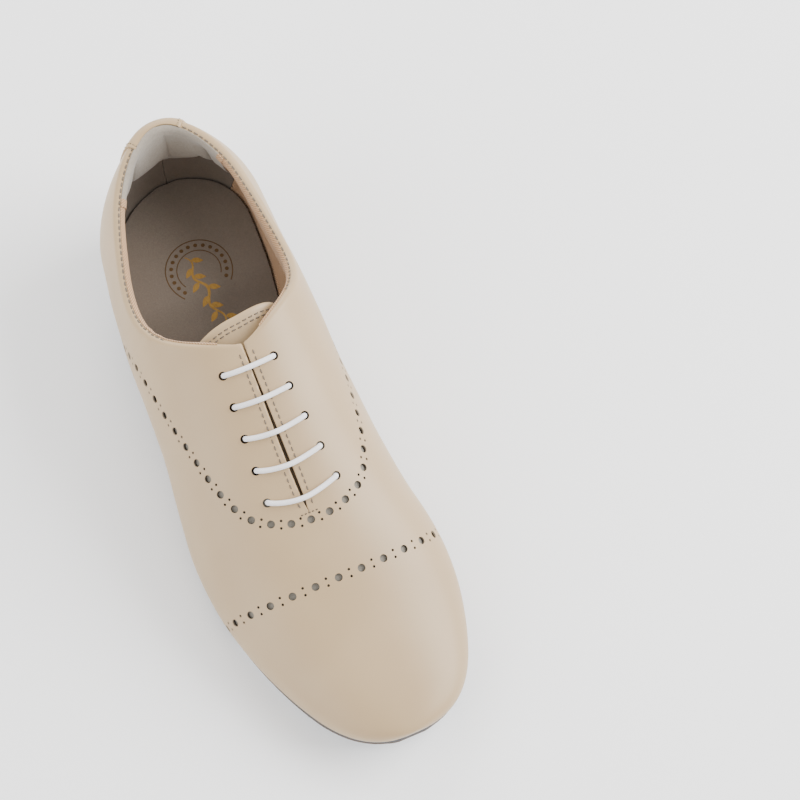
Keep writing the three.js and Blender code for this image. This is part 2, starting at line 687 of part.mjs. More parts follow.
const above = (height) => (l) => lastingEdge(l) + height;
const soleTop = above(-GAP);
const soleBottom = above(-GAP - SOLE_THICKNESS);
const boardTop = above(-2 * GAP - SOLE_THICKNESS);
const boardBottom = above(-2 * GAP - SOLE_THICKNESS - TAP_BOARD);
const tapTop = above(-3 * GAP - SOLE_THICKNESS - TAP_BOARD);
const tapBottom = above(-3 * GAP - SOLE_THICKNESS - TAP_BOARD - TAP_THICKNESS);

const PAD_END = 62;
const insockLift = (l) => 3.9 + 2.3 * (1 - ease((l - PAD_END) / 16));

add('insole_board', plate({ outset: -5.5, top: above(3.6), bottom: above(1.7) }), board);
add('heel_cushion', plate({ from: -9, to: PAD_END - 3, outset: -9, top: above(5.9), bottom: above(3.9), corner: 14 }), foam);
add('insock', plate({
  outset: -4.4, stations: 28,
  top: (l) => lastingEdge(l) + insockLift(l) + 1.2,
  bottom: (l) => lastingEdge(l) + insockLift(l),
}), taupeMicrofibre);
add('shank', plate({
  from: 34, to: 136, outset: -27, top: above(1.2), bottom: above(0.1), corner: 4, stations: 14,
}), steel);
add('bottom_filler', plate({ from: 139, outset: -MARGIN - 1.5, top: above(1.2), bottom: above(0.1), corner: 12 }), cork);

// Screws hold both taps: a countersunk head flush with the tap, and a shank into the layers above.
const SCREW_HEAD = 3.0;
const SCREW_SHANK = 1.3;
const SCREW_BURY = 0.35;     // the head sits this much inside the face, clear of the floor
const screws = [
  { name: 'heel', l: 10, x: 0, z: 0, length: 14 },
  { name: 'heel', l: 46, x: -20, z: 0, length: 14 },
  { name: 'heel', l: 46, x: 20, z: 0, length: 14 },
  { name: 'toe', l: 214, x: -30, z: 0, length: 6.2 },
  { name: 'toe', l: 214, x: 32, z: 0, length: 6.2 },
  { name: 'toe', l: 262, x: 2, z: tapBottom(262), length: 6.2 },
];

function screwGeometry(length, clearance = 0) {
  const head = SCREW_HEAD + clearance;
  const shank = SCREW_SHANK + clearance;
  const low = clearance > 0 ? -3 : SCREW_BURY;
  const profile = [[0, low], [head, low], [head, SCREW_BURY], [shank, SCREW_BURY + 1.8],
    [shank, length + clearance], [0, length + clearance], [0, low]];
  return new THREE.LatheGeometry(profile.map(([r, z]) => new THREE.Vector2(r, z)), 10).rotateX(Math.PI / 2);
}
const screwPlace = ({ l, x, z }) => new THREE.Vector3(x, HEEL_CENTRE - l, z);
const screwHoles = (name) => screws.filter((screw) => screw.name === name).map((screw) => {
  const place = screwPlace(screw);
  return screwGeometry(screw.length, GAP).translate(place.x, place.y, place.z);
});
const up = new THREE.Vector3(0, 0, 1);
const screwCount = { heel: 0, toe: 0 };
for (const screw of screws) {
  screwCount[screw.name] += 1;
  const name = `${screw.name}_tap_screw_${screwCount[screw.name]}`;
  add(name, screwGeometry(screw.length), steel, { at: screwPlace(screw), along: up });
}

const level = (z) => () => z;
const toeHoles = screwHoles('toe');
const heelHoles = screwHoles('heel');
add('outsole', cut(plate({ outset: 1.4, top: soleTop, bottom: soleBottom, stations: 28 }), toeHoles), soleLeather);
add('toe_tap_board', cut(plate({
  from: TOE_TAP_REAR - 2, outset: 1.0, top: boardTop, bottom: boardBottom, corner: 10,
}), toeHoles), fibreBoard);
add('toe_tap', cut(plate({
  from: TOE_TAP_REAR, outset: 0, top: tapTop, bottom: (l) => Math.max(0, tapBottom(l)), corner: 14, taper: 0.6,
}), toeHoles), aluminium);
add('heel_block', cut(plate({
  to: HEEL_BREAST, outset: 0.8, top: above(-2 * GAP - SOLE_THICKNESS), bottom: level(TOP_PIECE_TOP + GAP), taper: 0.8,
}), heelHoles), stackedHeel);
add('heel_top_piece', cut(plate({
  to: HEEL_BREAST, outset: 0, top: level(TOP_PIECE_TOP), bottom: level(TAP_THICKNESS + GAP),
}), heelHoles), rubber);
add('heel_tap', cut(plate({
  to: HEEL_BREAST - 1.5, outset: -0.8, top: level(TAP_THICKNESS), bottom: level(0), corner: 3, taper: 0.4,
}), heelHoles), aluminium);

export default group;
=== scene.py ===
"""A low laced tap shoe for the right foot, laid up piece by piece as a shoemaker would.

Frame: +Z up, toe towards -Y, inner (medial) side of the foot towards +X. Shapes are worked out
in millimetres and made into meshes in metres. l is the distance from the back of the heel
towards the toe, and a turn of a cross section runs from -90 degrees at the outer lasting edge,
through 0 on the crest, to +90 degrees at the inner lasting edge.
"""
import math

import bpy
import numpy as np
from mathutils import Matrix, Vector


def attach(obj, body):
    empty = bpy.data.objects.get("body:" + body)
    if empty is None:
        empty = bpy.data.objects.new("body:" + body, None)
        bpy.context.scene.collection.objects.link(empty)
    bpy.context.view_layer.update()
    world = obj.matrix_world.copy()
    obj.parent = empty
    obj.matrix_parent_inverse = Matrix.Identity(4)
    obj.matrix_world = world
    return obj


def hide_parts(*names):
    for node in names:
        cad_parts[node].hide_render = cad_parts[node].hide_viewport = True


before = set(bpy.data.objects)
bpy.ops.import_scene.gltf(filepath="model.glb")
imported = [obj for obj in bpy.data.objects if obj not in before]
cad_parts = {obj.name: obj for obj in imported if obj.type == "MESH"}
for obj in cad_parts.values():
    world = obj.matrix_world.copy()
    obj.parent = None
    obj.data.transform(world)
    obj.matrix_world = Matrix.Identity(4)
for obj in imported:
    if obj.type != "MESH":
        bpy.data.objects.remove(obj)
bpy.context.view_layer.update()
MM = 0.001

# ------------------------------------------------------------------ camera

lens = bpy.data.cameras.new("camera")
lens.lens = 124.6
lens.sensor_width = 36.0
lens.clip_end = 20.0
camera = bpy.data.objects.new("camera", lens)
camera.location = (-0.1318, -0.5501, 1.1819)
camera.rotation_euler = (math.radians(22.4), 0.0, math.radians(-23.6))
bpy.context.scene.collection.objects.link(camera)
bpy.context.scene.camera = camera

# ------------------------------------------------------------------ driving dimensions

LENGTH = 290.0         # back of the heel to the tip of the toe
HEEL_CENTRE = 32.0     # back of the heel to the middle of the heel tap
THROAT = 121.0         # back of the heel to the top corner of the lace slit
SLIT_END = 190.5       # back of the heel to the closed end of the lace slit
BACK_HEIGHT = 85.0     # top of the heel above the floor
HEEL_SEAT = 30.0       # lasting edge above the floor at the heel
BALL_SEAT = 8.0        # and at the ball of the foot
TOE_SPRING = 9.0       # rise of the lasting edge from the ball to the toe
TIP_HEIGHT = 9.0       # height of the upper at the very tip
MARGIN = 13.0          # upper turned in under the insole
ROLL_RADIUS = 2.6      # the padded rim is the upper rolled over to the inside
THROAT_TURN = 0.7      # turn of that roll at the throat, in radians, where there is no padding
QUARTER = math.pi / 2

# ------------------------------------------------------------------ curves


def spline(xs, ys):
    """Natural cubic spline through the knots: the piecewise cubic with continuous slope and bend,
    and no bend at either end. Returns a function of an array."""
    xs, ys = np.array(xs, float), np.array(ys, float)
    step = np.diff(xs)
    count = len(xs)
    matrix = np.eye(count)
    load = np.zeros(count)
    for i in range(1, count - 1):
        matrix[i, i - 1:i + 2] = step[i - 1], 2 * (step[i - 1] + step[i]), step[i]
        load[i] = 6 * ((ys[i + 1] - ys[i]) / step[i] - (ys[i] - ys[i - 1]) / step[i - 1])
    bend = np.linalg.solve(matrix, load)

    def value(x):
        x = np.clip(x, xs[0], xs[-1])
        i = np.clip(np.searchsorted(xs, x) - 1, 0, count - 2)
        a = (xs[i + 1] - x) / step[i]
        b = 1 - a
        curve = ((a**3 - a) * bend[i] + (b**3 - b) * bend[i + 1]) * step[i] ** 2 / 6
        return a * ys[i] + b * ys[i + 1] + curve

    return value


def ease(t):
    """3 t^2 - 2 t^3: from 0 to 1 with level ends."""
    t = np.clip(t, 0, 1)
    return t * t * (3 - 2 * t)


def rounded_end(t, power):
    """(1 - (1 - t)^p)^(1/p): 0 at the end of the shoe, full from t = 1 on."""
    return (1 - np.clip(1 - t, 0, 1) ** power) ** (1 / power)


def unit(vectors):
    """Each vector divided by its own length."""
    return vectors / np.maximum(np.linalg.norm(vectors, axis=-1, keepdims=True), 1e-12)


def run_along(points):
    """Distance travelled along a row of points."""
    steps = np.linalg.norm(np.diff(points, axis=0), axis=1)
    return np.concatenate([[0], np.cumsum(steps)])


def read_off(at, run, values):
    """Each column of values at the given runs, by straight lines between its rows."""
    return np.stack([np.interp(at, run, column) for column in values.T], -1)


# ------------------------------------------------------------------ the last, as a surface

STATIONS = [0, 55, 105, 145, 185, 215, 250, 290]
outer_width = spline(STATIONS, [37, 43, 48, 49.5, 53, 51, 46, 42.5])
inner_width = spline(STATIONS, [38.5, 40.5, 44, 46.5, 51.5, 55, 50, 43])
centre_line = spline([0, 60, 130, 200, 290], [2, -2, -3.5, -3.5, 2])
crest_height = spline([0, 40, 85, 117, 150, 185, 220, 250, 290],
                      [95, 101, 108, 94, 80, 64, 49, 38, 32.5])
fullness = spline([0, 60, 110, 150, 200, 250, 290], [2.3, 2.5, 2.5, 2.4, 2.35, 2.4, 2.5])
# Each end is rounded off over a run from the tip, by a power that squares its corners.
OUTER_TOE, INNER_TOE, HEEL_ROUND, TOE_CREST = (91, 2.6), (66, 2.7), (39, 2.2), (38, 2.2)
WAIST = 112.0          # back of the heel to the narrowest part of the foot
WAIST_SPREAD = 38.0


def lasting_edge(l):
    """Height of the edge where upper meets sole: level at the heel, eased down to the ball, and
    rising as a 1.8 power to the toe."""
    drop = (HEEL_SEAT - BALL_SEAT) * (1 - ease((l - 50) / 140))
    return BALL_SEAT + drop + TOE_SPRING * np.maximum(0, (l - 225) / 65) ** 1.8


def half_width(l, side):
    """Half the width on one side: its spline, times the rounding of the toe and of the heel."""
    outer = outer_width(l) * rounded_end((LENGTH - l) / OUTER_TOE[0], OUTER_TOE[1])
    inner = inner_width(l) * rounded_end((LENGTH - l) / INNER_TOE[0], INNER_TOE[1])
    return np.where(side < 0, outer, inner) * rounded_end(l / HEEL_ROUND[0], HEEL_ROUND[1])


def section_height(l):
    """Crest above the lasting edge, rounded down to the tip's own height at the toe."""
    full = crest_height(l) - lasting_edge(l)
    return TIP_HEIGHT + (full - TIP_HEIGHT) * rounded_end((LENGTH - l) / TOE_CREST[0], TOE_CREST[1])


def skin(l, angle, side):
    """A point on the outer face of the upper. Each cross section is a superellipse,
    x = w cos^(2/n), z = h sin^(2/n), drawn in at its foot by (1 - z/t)^2, most of all at the
    waist, and the two ends of the shoe lean in to the heel seat and the toe."""
    l, angle, side = np.broadcast_arrays(np.asarray(l, float), angle, side)
    width, height, power = half_width(l, side), section_height(l), 2 / fullness(l)
    z = height * np.clip(np.sin(angle), 0, 1) ** power
    waist = np.exp(-(((l - WAIST) / WAIST_SPREAD) ** 2))
    tuck_height = np.minimum(20 + 18 * waist, 0.8 * height)
    tuck_depth = (4 + np.where(side > 0, 9, 6) * waist) * np.minimum(1, width / 15)
    x = width * np.clip(np.cos(angle), 0, 1) ** power
    x = x - np.clip(1 - z / tuck_height, 0, 1) ** 2 * tuck_depth
    heel_lean = 3 * np.clip((z - 22) / 60, 0, 1.2) ** 1.5 + 3.5 * np.clip(1 - z / 20, 0, 1) ** 2
    toe_lean = 2.5 * np.clip(1 - z / 14, 0, 1) ** 2
    lean = heel_lean * np.clip(1 - l / 70, 0, 1) ** 1.5
    lean = lean - toe_lean * np.clip((l - 265) / 25, 0, 1) ** 1.5
    x = centre_line(l) + side * x
    return np.stack([x, HEEL_CENTRE - l - lean, lasting_edge(l + lean) + z], -1)


def over(l, turn):
    """The same skin by its turn from the crest: negative on the outer side, positive on the inner."""
    return skin(l, QUARTER - np.abs(turn), np.where(np.asarray(turn) < 0, -1, 1))


def over_normal(l, turn):
    """Outward normal: the cross product of the steps across and along the skin."""
    across = over(l, turn + 0.01) - over(l, turn - 0.01)
    along = over(l + 1, turn) - over(l - 1, turn)
    return unit(np.cross(along, across))


def angle_at_height(l, z):
    """The angle at which a section reaches a height above the floor: arcsin of the share^(n/2)."""
    share = np.clip((z - lasting_edge(l)) / section_height(l), 0, 1)
    return np.arcsin(share ** (fullness(l) / 2))


def rim_path(side):
    """The rim of the foot opening, from the back of the heel round to the throat: splines of l and
    of the angle over the distance run, through five heights."""
    heights = [78.5, 78.0, 88.0] if side < 0 else [76.0, 73.5, 89.0]
    stops = np.array([0.5, 28, 58, 82, THROAT - 15])
    tops = np.array([BACK_HEIGHT, (BACK_HEIGHT + heights[0]) / 2 + 1, *heights])
    ls = np.array([0, *stops[1:], THROAT])
    angles = np.array([*angle_at_height(stops, tops), QUARTER])
    run = np.concatenate([[0], np.cumsum(np.hypot(np.diff(ls), 45 * np.diff(angles)))])
    l_at, angle_at = spline(run, ls), spline(run, angles)
    return lambda t: (np.clip(l_at(t * run[-1]), 0, THROAT),
                      np.minimum(angle_at(t * run[-1]), QUARTER))


def shared_out(path, shares, side):
    """The places (l, angle) at the given shares of a path's length on the skin."""
    ts = (1 - np.cos(np.pi * np.linspace(0, 1, 400))) / 2
    run = run_along(skin(*path(ts), side))
    return path(np.interp(np.asarray(shares) * run[-1], run, ts))


# ------------------------------------------------------------------ one grid shared by every layer

CORNER = 84            # column at the throat: those before it end on the rim
TIP = 190              # column at the tip of the toe
FEATHER = 1            # row 0 is the margin turned under, row FEATHER the lasting edge
ROW_SHARES = np.concatenate([
    np.linspace(0, 0.12, 7)[:-1], np.linspace(0.12, 0.95, 28)[:-1], np.linspace(0.95, 1, 6)])
EDGE = FEATHER + len(ROW_SHARES) - 1
ROLL_STEPS = 12
ROWS = EDGE + ROLL_STEPS
CORNER_FOOT = 128.0    # where the column from the throat meets the lasting edge
PADDED = CORNER * 10 // 14   # the column where the padding of the rim ends


def column_ends(side):
    """Each column joins a place on the lasting edge to one on the rim or the crest."""
    rim = shared_out(rim_path(side), np.linspace(0, 1, CORNER + 1), side)
    foot = shared_out(lambda t: (CORNER_FOOT * t, 0 * t), np.linspace(0, 1, CORNER + 1), side)
    front = shared_out(lambda t: (THROAT + (LENGTH - THROAT) * t, 0 * t + 0.4),
                       np.linspace(0, 1, TIP - CORNER + 1), side)[0][1:]
    drift = (CORNER_FOOT - THROAT) * (LENGTH - front) / (LENGTH - THROAT)
    top_l = np.concatenate([rim[0], front])
    top_angle = np.concatenate([rim[1], np.full(len(front), QUARTER)])
    return top_l, top_angle, np.concatenate([foot[0], front + drift])


def slit_half_width(l):
    """The lace slit gapes most between the third and fifth bars and closes at both ends."""
    opening = 0.42 + 0.4 * np.exp(-(((l - 168) / 22) ** 2))
    return opening * ease((SLIT_END - l) / 5)


SIDES = np.array([-1, 1])
place = np.zeros((2, TIP + 1, ROWS + 1, 3))
place_l = np.zeros((2, TIP + 1, ROWS + 1))
place_turn = np.zeros((2, TIP + 1, ROWS + 1))
for s, side in enumerate(SIDES):
    top_l, top_angle, foot_l = column_ends(side)
    for column in range(TIP + 1):
        ends = (foot_l[column], top_l[column], top_angle[column])
        path = lambda t, ends=ends: (ends[0] + (ends[1] - ends[0]) * t, ends[2] * t**1.5)
        ls, angles = shared_out(path, ROW_SHARES, side)
        place_l[s, column, FEATHER:EDGE + 1] = ls
        place_turn[s, column, FEATHER:EDGE + 1] = side * (QUARTER - angles)
        place[s, column, FEATHER:EDGE + 1] = skin(ls, angles, side)
    foot = place[s, :, FEATHER]
    along = np.gradient(foot, axis=0)
    inward = unit(np.stack([side * along[:, 1], -side * along[:, 0], 0 * along[:, 0]], -1))
    inward[0], inward[-1] = (0, -1, 0), (0, 1, 0)
    place[s, :, 0] = foot + MARGIN * inward
    place[s, :, 0, 2] = lasting_edge(HEEL_CENTRE - place[s, :, 0, 1])
    place_l[s, :, 0] = place_l[s, :, 1]
    place_turn[s, :, 0] = place_turn[s, :, 1]
CREST_L = place_l[0, :, EDGE]
VAMP = int(np.searchsorted(CREST_L, SLIT_END))
shares = np.concatenate([[0], ROW_SHARES, np.ones(ROLL_STEPS)])
for s, side in enumerate(SIDES):
    opened = slit_half_width(CREST_L[CORNER:VAMP])[:, None] * shares[None, :] ** 34
    place[s, CORNER:VAMP, :, 0] += side * opened

# Numbers of the vertices: the two sides share the back seam, the tip and the closed crest.
number = np.arange(2 * (TIP + 1) * (ROWS + 1)).reshape(2, TIP + 1, ROWS + 1)
number[1, 0] = number[0, 0]
number[1, TIP] = number[0, TIP]
number[1, VAMP:, EDGE:] = number[0, VAMP:, EDGE:]


def cells_of():
    """The grid's cells, as four vertex numbers each, anticlockwise from outside the shoe."""
    corners = np.stack([number[:, :-1, :-1], number[:, 1:, :-1],
                        number[:, 1:, 1:], number[:, :-1, 1:]], -1)
    corners[1] = corners[1][..., ::-1]
    return corners


CELLS = cells_of()
CELL_L = (place_l[:, :-1, :-1] + place_l[:, 1:, 1:]) / 2
CELL_TURN = (place_turn[:, :-1, :-1] + place_turn[:, 1:, 1:]) / 2
COLUMN = np.arange(TIP)[None, :, None]
ROW = np.arange(ROWS)[None, None, :]
SIDE = SIDES[:, None, None]
ON_SKIN = (ROW < EDGE) & (COLUMN < TIP) & (SIDE != 0)


def skin_normals():
    """Each vertex's normal: the sum of the cross products of the diagonals of its cells."""
    flat = place.reshape(-1, 3)
    cells = CELLS[ON_SKIN]
    a, b, c, d = (flat[cells[:, i]] for i in range(4))
    across = np.cross(c - a, d - b)
    total = np.zeros_like(flat)
    for i in range(4):
        np.add.at(total, cells[:, i], across)
    return unit(total)[number]


# Small undulations of leather drawn over a last, in millimetres.
wave = 0.10 * np.sin(place_l / 9 + 3 * place_turn) * np.sin(place_turn * 5 + 1.3)
wave += 0.07 * np.sin(place_l / 4.7 - 4 * place_turn + 2)
wave *= ease((place_l - 20) / 40) * ease((250 - place_l) / 60)
crease = np.exp(-(((place_l - 96) / 9) ** 2)) * np.exp(-(((place_turn + 0.75) / 0.22) ** 2))
wave += 0.22 * crease * np.sin(place_l / 1.1)
wave *= 1 - 0.85 * np.exp(-((place_turn / 0.4) ** 2))
wave[:, :, :FEATHER + 3] = 0
normal = skin_normals()
place += wave[..., None] * normal
normal = skin_normals()


def roll_turn(column):
    """How far the rim rolls over: half a turn round the collar, opening out at the throat."""
    return math.pi + (THROAT_TURN - math.pi) * ease((column - PADDED) / (CORNER - PADDED))


columns = np.arange(CORNER + 1)
for s, side in enumerate(SIDES):
    edge = place[s, :CORNER + 1, EDGE]
    other = place[1 - s, :CORNER + 1, EDGE]
    before = np.concatenate([other[1:2], edge[:-1]])
    after = np.concatenate([edge[1:], other[-2:-1]])
    out = normal[s, :CORNER + 1, EDGE]
    beyond = unit(np.cross(after - before, out)) * side
    turn = roll_turn(columns)[:, None] * np.arange(1, ROLL_STEPS + 1) / ROLL_STEPS
    rolled = edge[:, None] + ROLL_RADIUS * np.sin(turn)[..., None] * beyond[:, None]
    rolled -= ROLL_RADIUS * (1 - np.cos(turn))[..., None] * out[:, None]
    place[s, :CORNER + 1, EDGE + 1:] = rolled
    normal[s, :CORNER + 1, EDGE + 1:] = (
        np.sin(turn)[..., None] * beyond[:, None] + np.cos(turn)[..., None] * out[:, None])
    place_l[s, :, EDGE + 1:] = place_l[s, :, EDGE:EDGE + 1]
    place_turn[s, :, EDGE + 1:] = place_turn[s, :, EDGE:EDGE + 1]
ON_ROLL = (ROW >= EDGE) & (COLUMN < CORNER) & (SIDE != 0)

# Distances over the skin, for cloth: along the shoe and up from the lasting edge.
climb = np.concatenate([np.zeros((2, TIP + 1, 1)), np.cumsum(
    np.linalg.norm(np.diff(place, axis=2), axis=-1), axis=2)], axis=2)
cloth_map = np.stack([place_l, climb], -1)

# ------------------------------------------------------------------ meshes


def mesh_piece(name, points, faces, coating, uv=None, sharp=40.0):
    """Makes an object from points in millimetres and arrays of faces with three or four corners.
    Edges sharper than the angle stay crisp. uv holds one pair for each vertex or each corner."""
    faces = [np.asarray(f, int) for f in faces if len(f)]
    corners = np.concatenate([f.ravel() for f in faces])
    sizes = np.concatenate([np.full(len(f), f.shape[1]) for f in faces])
    mesh = bpy.data.meshes.new(name)
    mesh.vertices.add(len(points))
    mesh.vertices.foreach_set("co", (np.asarray(points) * MM).astype(np.float32).ravel())
    mesh.loops.add(len(corners))
    mesh.loops.foreach_set("vertex_index", corners.astype(np.int32))
    mesh.polygons.add(len(sizes))
    starts = np.concatenate([[0], np.cumsum(sizes)[:-1]])
    mesh.polygons.foreach_set("loop_start", starts.astype(np.int32))
    mesh.update(calc_edges=True)
    if uv is not None:
        uv = np.asarray(uv)
        uv = uv if len(uv) == len(corners) else uv[corners]
        layer = mesh.uv_layers.new(name="cloth")
        layer.data.foreach_set("uv", uv.astype(np.float32).ravel())
    mesh.polygons.foreach_set("use_smooth", np.ones(len(sizes), bool))
    mesh.set_sharp_from_angle(angle=math.radians(sharp))
    mesh.materials.append(coating)
    piece = bpy.data.objects.new(name, mesh)
    bpy.context.scene.collection.objects.link(piece)
    return piece


def fit(piece, nodes=(), body="root"):
    """Says which body the piece moves with, and the plain pieces it stands for."""
    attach(piece, body)
    if nodes:
        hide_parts(*nodes)
    return piece


def sheet(name, chosen, outside, inside, coating, trim=0.25, rounding=0.0):
    """A closed sheet over the chosen cells of the grid, between two depths under the skin, measured
    along its normals. Its border is drawn in by trim, and its outer lip by rounding more."""
    used, cells = np.unique(CELLS[chosen], return_inverse=True)
    cells = cells.reshape(-1, 4)
    count = len(used)
    flat, out = place.reshape(-1, 3)[used], normal.reshape(-1, 3)[used]
    outside = np.broadcast_to(outside, number.shape).reshape(-1)[used][:, None]
    inside = np.broadcast_to(inside, number.shape).reshape(-1)[used][:, None]
    edges = np.stack([cells, np.roll(cells, -1, 1)], -1).reshape(-1, 2)
    border = edges[~np.isin(edges[:, 0] * count + edges[:, 1], edges[:, 1] * count + edges[:, 0])]
    inward = np.zeros((count, 3))
    np.add.at(inward, cells.ravel(), (flat[cells].mean(1)[:, None] - flat[cells]).reshape(-1, 3))
    on_border = np.zeros(count, bool)
    on_border[border.ravel()] = True
    inward -= (inward * out).sum(1, keepdims=True) * out
    inward = unit(inward) * on_border[:, None]
    wall = flat + trim * inward
    points = [wall + rounding * inward - outside * out, wall - inside * out]
    a, b = border.T
    faces = [cells, cells[:, ::-1] + count]
    if rounding:
        points.append(wall - (outside + rounding) * out)
        faces.append(np.stack([b, a, a + 2 * count, b + 2 * count], 1))
        faces.append(np.stack([b + 2 * count, a + 2 * count, a + count, b + count], 1))
    else:
        faces.append(np.stack([b, a, a + count, b + count], 1))
    points, faces = np.concatenate(points), np.concatenate(faces)
    kept, faces = np.unique(faces, return_inverse=True)
    uv = np.tile(cloth_map.reshape(-1, 2)[used], (3, 1))[kept]
    return mesh_piece(name, points[kept], [faces.reshape(-1, 4)], coating, uv)


def quads(rows, columns, wrap=False):
    """Faces of a grid of points numbered row by row; wrap joins the last column to the first."""
    across = np.arange(columns if wrap else columns - 1)
    i, j = np.meshgrid(np.arange(rows - 1) * columns, across, indexing="ij")
    k = (j + 1) % columns
    return np.stack([i + j, i + k, i + columns + k, i + columns + j], -1).reshape(-1, 4)


def border_of(rows, columns):
    """The numbers of a grid's border points, in turn round it."""
    grid = np.arange(rows * columns).reshape(rows, columns)
    return np.concatenate([grid[0], grid[1:, -1], grid[-1, -2::-1], grid[-2:0:-1, 0]])


def closed_grid(name, face, back, coating, uv=None, sharp=60.0):
    """A closed sheet between two grids of points, walled all round the border."""
    rows, columns = face.shape[:2]
    count = rows * columns
    cells = quads(rows, columns)
    loop = border_of(rows, columns)
    ahead = np.roll(loop, -1)
    wall = np.stack([loop, ahead, ahead + count, loop + count], 1)
    faces = np.concatenate([cells[:, ::-1], cells + count, wall])
    points = np.concatenate([face.reshape(-1, 3), back.reshape(-1, 3)])
    uv = np.zeros((2 * count, 2)) if uv is None else np.tile(uv.reshape(-1, 2), (2, 1))
    return facing_out(mesh_piece(name, points, [faces], coating, uv, sharp))


def facing_out(piece):
    """Turns a closed mesh right side out if its signed volume is negative."""
    mesh = piece.data
    co = np.zeros(len(mesh.vertices) * 3, np.float32)
    mesh.vertices.foreach_get("co", co)
    mesh.calc_loop_triangles()
    triangles = np.zeros(len(mesh.loop_triangles) * 3, np.int32)
    mesh.loop_triangles.foreach_get("vertices", triangles)
    a, b, c = co.reshape(-1, 3)[triangles.reshape(-1, 3)].transpose(1, 0, 2)
    if (np.cross(a, b) * c).sum() < 0:
        mesh.flip_normals()
    return piece


def frames_along(points):
    """A tangent and two cross axes at each point of a path. The first axis is carried along by
    taking out of it, at each step, what lies along the new tangent."""
    tangent = unit(np.gradient(points, axis=0))
    first = np.zeros_like(points)
    axis = np.cross(tangent[0], (0.3, 0.2, 1.0))
    for i, direction in enumerate(tangent):
        axis = unit(axis - direction * (axis @ direction))
        first[i] = axis
    return tangent, first, np.cross(tangent, first)


def tube(name, path, radius, sides, coating):
    """A round cord: rings of one radius square to the path, closed at both ends by a low cone."""
    tangent, first, second = frames_along(path)
    run = run_along(path)
    turn = (2 * np.pi * np.arange(sides) / sides)[None, :, None]
    rings = path[:, None] + radius * (np.cos(turn) * first[:, None] + np.sin(turn) * second[:, None])
    count = len(path)
    cone = 0.4 * radius
    points = np.concatenate([
        rings.reshape(-1, 3), path[:1] - cone * tangent[:1], path[-1:] + cone * tangent[-1:]])
    j = np.arange(sides)
    ahead = (j + 1) % sides
    last = (count - 1) * sides
    start = np.stack([np.full(sides, count * sides), ahead, j], 1)
    end = np.stack([np.full(sides, count * sides + 1), last + j, last + ahead], 1)
    body = quads(count, sides, wrap=True)
    i, k = np.divmod(np.arange(len(body)), sides)
    around = 2 * np.pi * radius / sides
    uv = np.stack([np.stack([(k + dk) * around, run[i + di]], -1)
                   for di, dk in ((0, 0), (0, 1), (1, 1), (1, 0))], 1)
    uv = np.concatenate([uv.reshape(-1, 2), np.zeros((6 * sides, 2))])
    return mesh_piece(name, points, [body, start, end], coating, uv)


def revolved(profile, sides):
    """A profile of (radius, height) turned about the Z axis; points on the axis become poles."""
    profile = np.array(profile, float)
    turn = 2 * np.pi * np.arange(sides) / sides
    points = np.stack([profile[:, :1] * np.cos(turn), profile[:, :1] * np.sin(turn),
                       np.repeat(profile[:, 1:], sides, 1)], -1).reshape(-1, 3)
    return points, quads(len(profile), sides, wrap=True)


def repeated(shape, faces, centres, axes):
    """Copies of a shape, its X, Y and Z axes laid along axes (one 3 x 3 for each copy)."""
    points = centres[:, None] + np.einsum("pk,nkc->npc", shape, axes)
    offsets = np.arange(len(centres))[:, None, None] * len(shape)
    return points.reshape(-1, 3), (faces[None] + offsets).reshape(-1, faces.shape[1])


def welded(points, faces):
    """Joins points that coincide and drops the faces that collapse, as triangles and quads."""
    _, keep, back = np.unique(np.round(points, 4), axis=0, return_index=True, return_inverse=True)
    faces = back.reshape(-1)[faces]
    same = faces == np.roll(faces, -1, 1)
    repeats = same.sum(1)
    triangles = [np.delete(face, np.argmax(twins))
                 for face, twins in zip(faces[repeats == 1], same[repeats == 1])]
    return points[keep], [faces[repeats == 0], np.array(triangles).reshape(-1, 3)]


def joined(parts):
    """Several (points, faces) laid end to end, with their faces renumbered."""
    starts = np.cumsum([0] + [len(points) for points, _ in parts[:-1]])
    faces = [faces + start for (_, faces), start in zip(parts, starts)]
    return np.concatenate([points for points, _ in parts]), np.concatenate(faces)


def bake(piece):
    """Puts what the modifiers make into the piece's own mesh, and takes them off."""
    depsgraph = bpy.context.evaluated_depsgraph_get()
    mesh = bpy.data.meshes.new_from_object(piece.evaluated_get(depsgraph))
    piece.modifiers.clear()
    old, piece.data = piece.data, mesh
    bpy.data.meshes.remove(old)


def subtract(piece, tool, sharp):
    """Takes a closed tool out of a closed piece. The faces it leaves bring the tool's material."""
    cutter = piece.modifiers.new("cutter", "BOOLEAN")
    cutter.object = tool
    cutter.operation = "DIFFERENCE"
    cutter.solver = "MANIFOLD"
    cutter.material_mode = "TRANSFER"
    bake(piece)
    piece.data.set_sharp_from_angle(angle=math.radians(sharp))
    bpy.data.objects.remove(tool)


# ------------------------------------------------------------------ materials


def srgb(code):
    """A colour written as sRGB hex, in linear light."""
    channels = [int(code[i:i + 2], 16) / 255 for i in (0, 2, 4)]
    linear = [c / 12.92 if c <= 0.04045 else ((c + 0.055) / 1.055) ** 2.4 for c in channels]
    return (*linear, 1.0)


def add(tree, kind, inputs=None, **settings):
    """Adds a node with its settings, and sets or links its inputs."""
    node = tree.nodes.new(kind)
    for key, value in settings.items():
        setattr(node, key, value)
    for key, value in (inputs or {}).items():
        if isinstance(value, bpy.types.NodeSocket):
            tree.links.new(value, node.inputs[key])
        else:
            node.inputs[key].default_value = value
    return node


